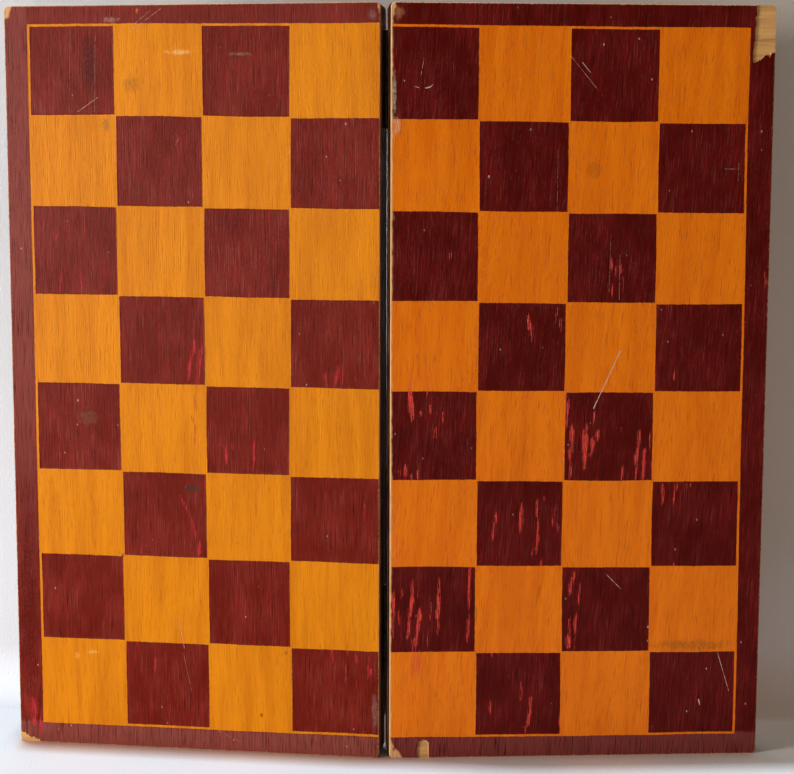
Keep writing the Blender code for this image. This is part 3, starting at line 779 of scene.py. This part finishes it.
SCRATCHES = {
    "left": [((159.0, 337.4), (147.7, 345.0), 0.16), ((113.6, 389.6), (130.6, 377.8), 0.14),
             ((108.2, 70.9), (105.1, 55.2), 0.16), ((105.7, 52.5), (101.0, 30.2), 0.10),
             ((87.5, 10.9), (75.0, 5.5), 0.10),
             ((148.4, 376.2), (149.4, 337.6), 0.09), ((161.7, 379.3), (163.1, 336.6), 0.07),
             ((124.2, 368.9), (124.2, 332.5), 0.07), ((119.1, 388.9), (128.7, 381.0), 0.12),
             ((106.9, 320.7), (104.2, 324.8), 0.10), ((46.7, 318.2), (49.8, 312.1), 0.14)],
    "right": [((120.4, 216.1), (106.9, 186.0), 0.30), ((175.2, 55.4), (181.7, 34.6), 0.20),
              ((92.1, 365.9), (106.7, 348.5), 0.14), ((98.3, 362.4), (102.5, 357.5), 0.22),
              ((13.4, 349.9), (15.4, 349.4), 0.20), ((19.0, 349.2), (21.2, 349.8), 0.36),
              ((21.2, 349.8), (22.6, 351.0), 0.24),
              ((115.2, 98.1), (122.8, 90.5), 0.20), ((165.7, 29.9), (166.3, 27.2), 0.40),
              ((172.6, 309.3), (179.8, 309.3), 0.14), ((179.8, 312.4), (179.5, 303.2), 0.09),
              ((86.5, 318.6), (86.4, 287.2), 0.09), ((119.2, 265.3), (119.2, 242.2), 0.10),
              ((114.4, 275.6), (113.9, 246.3), 0.09), ((18.0, 364.1), (16.5, 355.7), 0.14)],
}

SMUDGES = {
    "left": [
        (104.2, 367.7, 7.3, 1.7, (0.85, 0.5, 0.17), 0.55),
        (129.2, 351.8, 6.3, 5.1, (0.3, 0.1, 0.01), 0.45),
        (143.4, 331.0, 2.6, 4.1, (0.28, 0.12, 0.02), 0.60),
        (100.0, 141.5, 4.3, 2.5, (0.035, 0.03, 0.02), 0.75),
        (191.5, 19.7, 3.2, 8.2, (0.33, 0.02, 0.008), 0.60),
        (155.9, 178.6, 6.5, 5.2, (0.16, 0.07, 0.04), 0.50),
        (190.8, 75.0, 5.5, 62.0, (0.075, 0.002, 0.001), 0.60),
        (151.9, 363.1, 5.0, 17.3, (0.03, 0.004, 0.003), 0.50),
        (140.3, 384.2, 4.7, 1.6, (0.35, 0.2, 0.15), 0.55),
        (126.0, 388.5, 0.8, 1.8, (0.6, 0.12, 0.01), 0.90),
        (4.5, 385.7, 2.5, 3.5, (0.2, 0.13, 0.11), 0.50),
        (2.5, 25.2, 2.1, 10.8, (0.22, 0.14, 0.12), 0.50),
        (72.4, 366.5, 7.3, 1.1, (0.25, 0.2, 0.1), 0.35),
        (155.6, 51.3, 3.3, 1.2, (0.8, 0.42, 0.09), 0.50),
        (164.5, 49.2, 1.6, 2.7, (0.8, 0.42, 0.09), 0.40),
    ],
    "right": [
        (3.1, 345.5, 1.2, 12.0, (0.45, 0.36, 0.28), 0.60),
        (4.4, 330.5, 2.2, 6.0, (0.62, 0.36, 0.20), 0.60),
        (161.0, 59.6, 24.7, 3.5, (0.2, 0.07, 0.01), 0.45),
        (105.1, 308.5, 5.2, 5.0, (0.25, 0.08, 0.01), 0.35),
        (4.8, 386.7, 3.5, 3.9, (0.42, 0.17, 0.07), 0.55),
    ],
}


def attribute(tree, name):
    """A number that the mesh keeps on its points."""
    return Value(add_node(tree, "Attribute", attribute_name=name).outputs["Fac"])


def chain_scratches(place, word):
    """One mask for all the scratches of a half: each group takes the mask of the one before it."""
    mask = 0.0
    for start, end, width in SCRATCHES[word]:
        ends = {"Start": (SIDES[word] * start[0], 0, start[1]), "End": (SIDES[word] * end[0], 0, end[1])}
        mask = use_group(SCRATCH, {"Vector": place, **ends, "Width": width, "Before": mask})["Mask"]
    return mask


def core_colour(place):
    """The inner ply: pale wood whose grain is level, with dark lines between its bands."""
    grain = use_group(WOOD_GRAIN, {"Vector": turned(place, math.pi / 2), "Fleck Share": 0.3})
    bands = step(noise(place, (0.02, 0.02, 0.32)), 0.3, 0.7)
    colour = mix(bands * 0.75, CORE_WOOD, CORE_DARK)
    colour = mix(grain["Fibre"] * 0.55, colour, BARE_WOOD)
    return mix(grain["Fleck"] * 0.6, colour, (0.12, 0.05, 0.015)), bands


def face_colour(word, tree, straight, grain, board, brush, cloud, grit):
    """Veneer under varnish, then the coat with its haze, wear and cracks, then rubs and smudges."""
    look, side = FACES[word], SIDES[word]
    wood = mix(grain["Tone"], look["deep"], look["bright"])
    dirty = step(cloud, 0.56, 0.72) * step(grit, 0.50, 0.66) * 0.45
    for share in (step(brush, 0.34, 0.46, 0.5, 0.0), grain["Fleck"] * look["fleck_depth"], dirty):
        wood = mix(share, wood, look["fleck"])

    across, _, up = parts(straight)
    worn_low = step(up + cloud * 4.0, 12.5, 15.0, look["low_wear"], 0.0)
    # Wear of the border. On the left half it is also a painted sheen, lighter towards the outer side and
    # higher up.
    worn_up_and_sheen = step(up, 60.0, 200.0, 0.0, look["border_wear_and_sheen"]) * step(across * side, 183.0, 186.0, 0.3, 1.0)
    worn = calc("MAXIMUM", worn_low, worn_up_and_sheen) * board["Border"] * step(brush, 0.36, 0.64, 0.6, 1.4)
    # Painted glints and haze: lighter streaks along the brush and in clouds, partly glints of light painted
    # into the coat.
    haze_and_glint_share = step(brush, 0.52, 0.74) * step(cloud, 0.35, 0.65, 0.15, 0.85)
    streak = noise(turned(straight, look["lean"]), (1.1, 1.1, 0.03), 4.0, 0.7)
    coat = mix(step(cloud, 0.36, 0.64), look["coat"], look["coat_worn"])
    coat = mix(step(streak, 0.50, 0.66) * step(cloud, 0.40, 0.60, 0.25, 0.9), coat, look["ruddy"])
    coat = mix(calc("MAXIMUM", haze_and_glint_share, worn), coat, look["haze_and_sheen"])
    coat = mix(step(brush, 0.35, 0.46, 0.9, 0.0), coat, look["crack"])
    colour = mix(board["Dark"], wood, coat)

    rubbed = use_group(RUBBED, {"Vector": straight, "Amount": attribute(tree, "rubbed")})["Mask"]
    scarlet = mix(step(grit, 0.40, 0.62, 0.0, 0.55), look["scarlet"], look["ruddy"])
    colour = mix(rubbed * step(board["Dark"], 0.0, 1.0, 0.6, 1.0), colour, scarlet)
    for u, z, reach_u, reach_z, dirt, strength in SMUDGES[word]:
        inputs = {"Vector": straight, "Middle": (side * u, 0, z), "Reach": (reach_u, 1, reach_z)}
        share = calc("MULTIPLY", use_group(SMUDGE, inputs)["Mask"], 1.4 * strength, clamp=True)
        colour = mix(share, colour, dirt)
    return colour, rubbed


def painted_face(word):
    look = FACES[word]
    material, tree, shader = new_material(word + "_painted_face")
    straight = half_millimetres(tree, SIDES[word])
    place = turned(straight, look["lean"])
    grain = use_group(WOOD_GRAIN, {"Vector": place, "Fleck Share": look["fleck_share"]})
    brush = noise(place, (1.7, 1.7, 0.055), 4.0, 0.75)
    cloud = noise(place, (0.06, 0.06, 0.03), 5.0, 0.65)
    grit = noise(place, (1.3, 1.3, 0.7), 4.0, 0.75)
    board = use_group(DRAUGHTS_BOARD, {"Vector": straight, "Ruled U": attribute(tree, "ruled_u"),
                                       "Ruled Z": attribute(tree, "ruled_z"), "Parity": look["parity"]})
    colour, rubbed = face_colour(word, tree, straight, grain, board, brush, cloud, grit)

    worn_edge = step(attribute(tree, "inside") + (grit - 0.5) * 2.2, 0.10, 0.60, 0.85, 0.0)
    bare = calc("MAXIMUM", attribute(tree, "bare"), worn_edge)
    colour = mix(bare, colour, mix(grain["Fibre"] * grit, BARE_WOOD, CORE_DARK))
    core = step(attribute(tree, "core"), 0.35, 0.65)
    colour = mix(core, colour, core_colour(straight)[0])

    specks = use_group(SPECKS, {"Vector": straight, "Spacing": 3.6, "Size": 0.34, "Share": 0.30})["Mask"]
    specks = specks * step(cloud, 0.40, 0.62, 0.1, 1.0) * board["Dark"]
    lines = chain_scratches(straight, word)
    colour = mix(calc("MAXIMUM", specks, lines) * 0.8, colour, (0.60, 0.42, 0.32))
    pits = use_group(SPECKS, {"Vector": straight, "Spacing": 13.0, "Size": 0.6, "Share": 0.4})["Mask"]
    colour = mix(pits * 0.7, colour, (0.08, 0.02, 0.005))

    rough = step(calc("MAXIMUM", bare, core), 0.0, 1.0, 0.33, 0.72) + grain["Fibre"] * 0.08
    height = brush + grain["Fleck"] * -0.25 + board["Brush Edge"] * 0.3
    height = height - calc("MAXIMUM", rubbed, lines) * 0.3
    fill(shader, {"Base Color": colour, "Roughness": rough, "Specular IOR Level": look["gloss"],
                  "Normal": relief(height, look["relief"])})
    return material


for word, panel in panels.items():
    panel.data.materials.append(painted_face(word))
print("faces:", [panel.data.materials[0].name for panel in panels.values()])

# %% [markdown]
# ## The sheet's edge and the tray floor
# On the edge the plies show where the coat is worn: pale outer veneers, and a darker inner ply whose
# grain is level. The other side of the sheet is the floor of the tray. Each tray has six points at
# either end, in two colours that take turns; two points that face each other have different colours.
# A point is a triangle, so it is enough to compare the distance to its middle line with a half width
# that shrinks evenly from its base to its tip.

# %% Edge and tray floor
TRAY_LOW_U, TRAY_HIGH_U = own_box("left_hinge_rail", -1)[1][0], own_box("left_latch_rail", -1)[0][0]
TRAY_LOW_Z, TRAY_HIGH_Z = own_box("left_bottom_rail", -1)[1][2], own_box("left_top_rail", -1)[0][2]
POINT_WIDTH = (TRAY_HIGH_U - TRAY_LOW_U) / 6
POINT_LENGTH = 150.0
POINT_BASE = 0.94


def build_points():
    tree, result, place = new_group("backgammon_points", {"Vector": None}, ["Point", "Second"])
    across, _, up = parts(place)
    column = (abs(across) - TRAY_LOW_U) / POINT_WIDTH
    number = calc("FLOOR", column)
    aside = abs(column - number - 0.5)
    from_low, from_high = up - TRAY_LOW_Z, TRAY_HIGH_Z - up
    half = (1.0 - calc("MINIMUM", from_low, from_high) / POINT_LENGTH) * (POINT_BASE / 2)
    room = (half - aside) * POINT_WIDTH + (noise(place, 0.4) - 0.5) * 0.5
    upper = calc("LESS_THAN", from_high, from_low)
    fill(result, {"Point": step(room, -SOFT, SOFT), "Second": calc("FLOORED_MODULO", number + upper, 2.0)})
    return tree


BACKGAMMON_POINTS = build_points()


def panel_edge(word):
    material, tree, shader = new_material(word + "_panel_edge")
    place = half_millimetres(tree, SIDES[word])
    deep = parts(place)[1] * -1.0
    core_look, bands = core_colour(place)
    from_face = calc("MINIMUM", FACE - deep, deep - BACK)
    wood = mix(step(from_face, VENEER - 0.12, VENEER + 0.12), BARE_WOOD, core_look)
    patch = noise(place, (0.22, 0.9, 0.06), 4.0, 0.65)
    worn = step(patch + step(from_face, 0.0, 0.9, 0.22, 0.0), 0.56, 0.66)
    colour = mix(bands * 0.2, mix(worn, FACES[word]["coat"], wood), (0.03, 0.012, 0.006))
    fill(shader, {"Base Color": colour, "Roughness": step(worn, 0.0, 1.0, 0.42, 0.75),
                  "Normal": relief(patch, 0.0002)})
    return material


def tray_floor(word):
    look = FACES[word]
    material, tree, shader = new_material(word + "_tray_floor")
    place = half_millimetres(tree, SIDES[word])
    grain = use_group(WOOD_GRAIN, {"Vector": place, "Fleck Share": look["fleck_share"]})
    points = use_group(BACKGAMMON_POINTS, {"Vector": place})
    brush = noise(place, (1.6, 1.6, 0.05), 3.0, 0.7)
    wood = mix(grain["Tone"], look["deep"], look["bright"])
    wood = mix(grain["Fibre"] * 0.3, wood, look["deep"])
    wood = mix(grain["Fleck"] * 0.45, wood, look["fleck"])
    paint = mix(points["Second"], look["coat"], look["scarlet"])
    paint = mix(step(brush, 0.5, 0.85, 0.0, 0.5), paint, look["coat_worn"])
    colour = mix(points["Point"] * step(brush, 0.62, 0.78, 1.0, 0.72), wood, paint)
    fill(shader, {"Base Color": colour, "Roughness": step(grain["Fibre"], 0.0, 1.0, 0.36, 0.46),
                  "Normal": relief(brush * 0.5 + points["Point"] * 0.4, 0.00006)})
    return material


for word, panel in panels.items():
    panel.data.materials.append(panel_edge(word))
    panel.data.materials.append(tray_floor(word))
print("tray:", round(TRAY_HIGH_U - TRAY_LOW_U, 1), "mm wide, points", round(POINT_WIDTH, 2), "mm")

# %% [markdown]
# ## The rails
# Four strips of solid wood stand round each tray, joined by fingers at the corners. They keep the
# shape of their solids. Two modifiers ease the sharp edges, as sandpaper does. Their grain runs along
# each strip, so the level ones turn the pattern by a right angle, and where a finger shows its end,
# the fibres are cut across and soak up more stain. Hands and tables wear the edges first: on a
# box, the middle one of the three distances to its faces is the distance to the nearest edge.

# %% Rails
def build_box_edge():
    tree, result, place, low, high = new_group(
        "box_edge", {"Vector": None, "Low": None, "High": None}, ["Distance"])
    x, y, z = parts(vector("MINIMUM", vector("SUBTRACT", place, low), vector("SUBTRACT", high, place)))
    middle = calc("MAXIMUM", calc("MINIMUM", x, y), calc("MINIMUM", calc("MAXIMUM", x, y), z))
    fill(result, {"Distance": middle})
    return tree


BOX_EDGE = build_box_edge()
RAIL_LOOKS = {
    "left": {"stain": (0.135, 0.030, 0.014), "pale": (0.235, 0.066, 0.030), "worn": (0.50, 0.24, 0.085)},
    "right": {"stain": (0.082, 0.013, 0.007), "pale": (0.150, 0.030, 0.014), "worn": (0.44, 0.19, 0.062)},
}


def rail_wood(word, name):
    look, side = RAIL_LOOKS[word], SIDES[word]
    material, tree, shader = new_material(name)
    place = half_millimetres(tree, side)
    level = "top" in name or "bottom" in name
    along = turned(place, math.pi / 2) if level else place
    grain = use_group(WOOD_GRAIN, {"Vector": along, "Fleck Share": 0.7})
    low, high = own_box(name, side)
    least, most = sorted((low[0] * side, high[0] * side))
    box = {"Low": (least, -high[1], low[2]), "High": (most, -low[1], high[2])}
    edge = use_group(BOX_EDGE, {"Vector": place, **box})["Distance"]
    end = step(abs(parts(coordinates(tree, "Normal"))[0 if level else 2]), 0.6, 0.8)
    pores = noise(place, 1.7, 3.0, 0.7)
    patch = noise(along, (0.3, 0.3, 0.05), 4.0, 0.65)
    worn = step(edge + patch * -2.6, -1.25, -0.75, 0.85, 0.0)
    colour = mix(grain["Tone"], look["stain"], look["pale"])
    colour = mix(grain["Fibre"] * 0.35, colour, look["pale"])
    colour = mix(grain["Fleck"] * 0.5, colour, (0.028, 0.008, 0.005))
    colour = mix(end * step(pores, 0.35, 0.65, 0.25, 0.75), colour, (0.035, 0.010, 0.006))
    colour = mix(worn, colour, look["worn"])
    fill(shader, {"Base Color": colour, "Roughness": step(worn, 0.0, 1.0, 0.44, 0.68),
                  "Normal": relief(grain["Fibre"] - grain["Fleck"], 0.00007)})
    return material


def finish_solid(node, material, ease):
    """Give a solid its finish and ease its edges: weld the corners, then bevel what turns sharply."""
    piece = frame["nodes"][node]
    piece.data.materials.clear()
    piece.data.materials.append(material)
    weld = piece.modifiers.new("weld", "WELD")
    weld.merge_threshold = 0.00001
    bevel = piece.modifiers.new("eased edges", "BEVEL")
    bevel.width = ease * MM
    bevel.segments = 2
    bevel.limit_method = "ANGLE"
    bevel.angle_limit = math.radians(40)
    bevel.harden_normals = True
    return piece


for word in SIDES:
    for place in ("hinge", "latch", "top", "bottom"):
        name = f"{word}_{place}_rail"
        finish_solid(name, rail_wood(word, name), 0.35)
print("rails:", sum("rail" in name for name in frame["nodes"]))

# %% [markdown]
# ## Hinges, hooks and screws
# The hinges are pressed steel, dull with age: grey, a little warm, with brown rust in the hollows
# and finer rust specks on the flats. The hooks are bent from brass wire and have gone brown, with
# brighter metal left where fingers rub. One function makes both, from three colours and a share of
# tarnish.

# %% Metal
def aged_metal(name, bright, dull, crust, share):
    material, tree, shader = new_material(name)
    place = stretch(coordinates(tree), 1 / MM)
    cloud, grit = noise(place, 0.25, 4.0, 0.6), noise(place, 2.6, 3.0, 0.6)
    tarnish = step(cloud, 0.62 - 0.3 * share, 0.85 - 0.3 * share)
    spots = step(grit + cloud * 0.35, 0.78, 0.86)
    colour = mix(spots * 0.85, mix(tarnish, bright, dull), crust)
    fill(shader, {"Base Color": colour, "Metallic": step(spots, 0.0, 1.0, 1.0, 0.15),
                  "Roughness": step(tarnish, 0.0, 1.0, 0.34, 0.52) + spots * 0.3,
                  "Normal": relief(grit + spots, 0.00004)})
    return material


STEEL = aged_metal("aged_steel", (0.46, 0.45, 0.43), (0.24, 0.22, 0.20), (0.12, 0.055, 0.025), 0.5)
BRASS = aged_metal("aged_brass", (0.62, 0.43, 0.17), (0.30, 0.19, 0.08), (0.07, 0.05, 0.025), 0.6)
for name in frame["nodes"]:
    if "_hinge_" in name and "rail" not in name:
        finish_solid(name, STEEL, 0.08 if "screw" in name else 0.15)
    elif "_hook" in name or "_catch_" in name:
        finish_solid(name, BRASS, 0.08)
print("metal pieces:", sum(name not in ("left_panel", "right_panel") and "rail" not in name
                           for name in frame["nodes"]))

# %% [markdown]
# ## A plain studio
# The board stands on a pale floor, with a pale wall close behind it. Some light and shade is painted
# on them: the wall is lighter low down and darker in the board's shadow to the right, the floor is
# lighter at the right, and dark patches are painted behind the gap and just in front of the board.
# The wall is clear from behind, and lets light through, so it is never in the way of another camera
# or of the light for the trays.

# %% Floor and wall
# Colour, back and reach of the painted contact shadow and painted red reflection on the ground in front of
# the board.
CONTACT_SHADE_COLOUR = (0.74, 0.47, 0.37)
CONTACT_SHADE_BACK, CONTACT_SHADE_REACH = -0.004, 0.019


def build_plain(name, low, high, right):
    """A pale matt finish, clear on the side that faces away.

    Its colour goes from low to high as it rises, a painted gradient of light that is lighter low
    on the wall, and to another towards the right: painted shade of the board's shadow on the wall,
    and painted light on the floor there. The narrow gap between the halves should look quite dark,
    so the wall just behind it is painted dark, as painted shade. Just in front of the board the
    ground takes on some of its red and is darkened, a painted contact shadow and a painted
    reflection of the board: ahead = front edge's y - y.
    """
    material, tree, shader = new_material(name)
    place = coordinates(tree)
    x, y, z = parts(place)
    # Painted light: the wall's colour lightens low down and darkens as it rises.
    colour = mix(step(z, 0.02, 0.33), low, high)
    # Painted shade on the wall towards the right, where the board's shadow falls, and painted light on the
    # floor there, lighter than elsewhere.
    colour = mix(step(x, 0.0, 0.2), colour, mix(step(z, 0.0, 0.12), (0.93, 0.94, 0.95), right))
    colour = mix(step(noise(place, 6.0, 3.0), 0.3, 0.7, 0.0, 0.04), colour, (0.3, 0.3, 0.3))
    # Painted shade: a near-black strip on the wall just behind the gap between the halves.
    behind = step(y, 0.050, 0.060) * step(z, 0.378, 0.388, 1.0, 0.0)
    colour = mix(step(abs(x + 0.004), 0.003, 0.007, 1.0, 0.0) * behind, colour, (0.02, 0.012, 0.008))
    # Painted contact shadow, with a painted reflection of the board's red, on the ground just in front of
    # its lower edge.
    ahead = abs(x) * math.tan(LEAN) + (AXIS_Y - FACE * MM) - y
    spread = ahead + step(x, -0.02, 0.02, -0.002, 0.004)
    near = step(spread, CONTACT_SHADE_BACK, CONTACT_SHADE_REACH, 1.0, 0.0) * step(abs(x), 0.192, 0.202, 1.0, 0.0)
    colour = mix(near * calc("GREATER_THAN", ahead, CONTACT_SHADE_BACK), colour, CONTACT_SHADE_COLOUR)
    fill(shader, {"Base Color": colour, "Roughness": 0.9, "Specular IOR Level": 0.1,
                  "Normal": relief(noise(place, 900.0), 0.0002)})
    clear = add_node(tree, "BsdfTransparent").outputs[0]
    away = add_node(tree, "NewGeometry").outputs["Backfacing"]
    both = add_node(tree, "MixShader", {0: Value(away), 1: Value(shader.outputs[0]), 2: Value(clear)})
    tree.links.new(both.outputs[0], tree.nodes["Material Output"].inputs["Surface"])
    return material


def add_strip(name, profile, ends, material):
    """A strip of ground: a profile of (y, z) points drawn out along x between two ends."""
    rows = np.array([[(x, y, z) for x in ends] for y, z in profile])
    count = len(profile)
    faces = [(2 * i, 2 * i + 1, 2 * i + 3, 2 * i + 2) for i in range(count - 1)]
    mesh = bpy.data.meshes.new(name)
    mesh.from_pydata(rows.reshape(-1, 3).tolist(), [], faces)
    mesh.materials.append(material)
    mesh.shade_smooth()
    made = bpy.data.objects.new(name, mesh)
    bpy.context.scene.collection.objects.link(made)
    return made


WALL_Y = 0.085
COVE = 0.03
turn = np.linspace(0, math.pi / 2, 13)
cove = np.stack([WALL_Y - COVE + COVE * np.sin(turn), COVE - COVE * np.cos(turn)], axis=1).tolist()
FLOOR_PAPER = (0.83, 0.86, 0.90)
# The wall's low colour is lighter than its high one, a painted gradient of light; its colour towards the
# right is painted shade.
WALL_LOW, WALL_HIGH, WALL_RIGHT_SHADE = (0.78, 0.79, 0.83), (0.625, 0.625, 0.64), (0.65, 0.60, 0.53)
floor = add_strip("floor", [(-4.0, 0.0), (WALL_Y - COVE, 0.0)], (-4.0, 4.0),
                  build_plain("floor_paper", FLOOR_PAPER, FLOOR_PAPER, FLOOR_PAPER))
wall = add_strip("wall", cove + [(WALL_Y, 2.0)], (-4.0, 4.0),
                 build_plain("wall_paper", WALL_LOW, WALL_HIGH, WALL_RIGHT_SHADE))
floor.visible_glossy = False
wall.visible_glossy = False
wall.visible_shadow = False
wall.visible_diffuse = False
print("wall at", WALL_Y, "m")

# %% [markdown]
# ## Light
# Daylight comes from the left front: a large soft lamp. A small lamp high above, a little behind the
# face, gives the narrow shadow under the front edge, and a contact shadow painted on the floor there
# deepens it; a flag keeps the lamp off the ground behind the board. A weak lamp behind lets the trays
# be seen from the back.

# %% Lamps and world
def add_lamp(name, place, target, size, watts, colour=(1.0, 1.0, 1.0)):
    """A square area lamp at a place, looking at a target."""
    data = bpy.data.lights.new(name, "AREA")
    data.shape = "SQUARE"
    data.size = size
    data.energy = watts
    data.color = colour
    made = bpy.data.objects.new(name, data)
    made.location = place
    made.rotation_euler = (Vector(target) - Vector(place)).to_track_quat("-Z", "Y").to_euler()
    bpy.context.scene.collection.objects.link(made)
    return made


add_lamp("key", (-1.90, -1.05, 0.30), (0.0, 0.0, 0.19), 0.55, 51.0, (1.0, 0.985, 0.96))
add_lamp("top", (-0.225, 0.031, 1.6), (-0.225, 0.0, 0.0), 0.06, 15.5, (0.95, 1.10, 1.22))
flag = add_strip("flag", [(0.5, 0.42), (0.008, 0.42)], (-0.205, 0.35), bpy.data.materials["wall_paper"])
flag.visible_camera = flag.visible_diffuse = flag.visible_glossy = False
add_lamp("back", (-0.6, 1.7, 0.3), (0.0, 0.0, 0.2), 0.5, 7.0)

world = bpy.data.worlds.new("studio")
world.use_nodes = True
bpy.context.scene.world = world
sky = world.node_tree
seen = add_node(sky, "Background", {"Color": (0.78, 0.77, 0.76, 1), "Strength": 1.0})
rays = put_out(add_node(sky, "LightPath"))
level = beside("MapRange", {"Value": rays["Is Glossy Ray"], "To Min": 0.20, "To Max": 0.05})
lit = fill(sky.nodes["Background"], {"Color": (1.0, 0.78, 0.60, 1), "Strength": level})
direct = calc("MAXIMUM", rays["Is Camera Ray"], rays["Is Transmission Ray"])
both = beside("MixShader", {0: direct, 1: Value(lit.outputs[0]), 2: Value(seen.outputs[0])})
fill(sky.nodes["World Output"], {"Surface": both})
print("lamps:", len(bpy.data.lights))
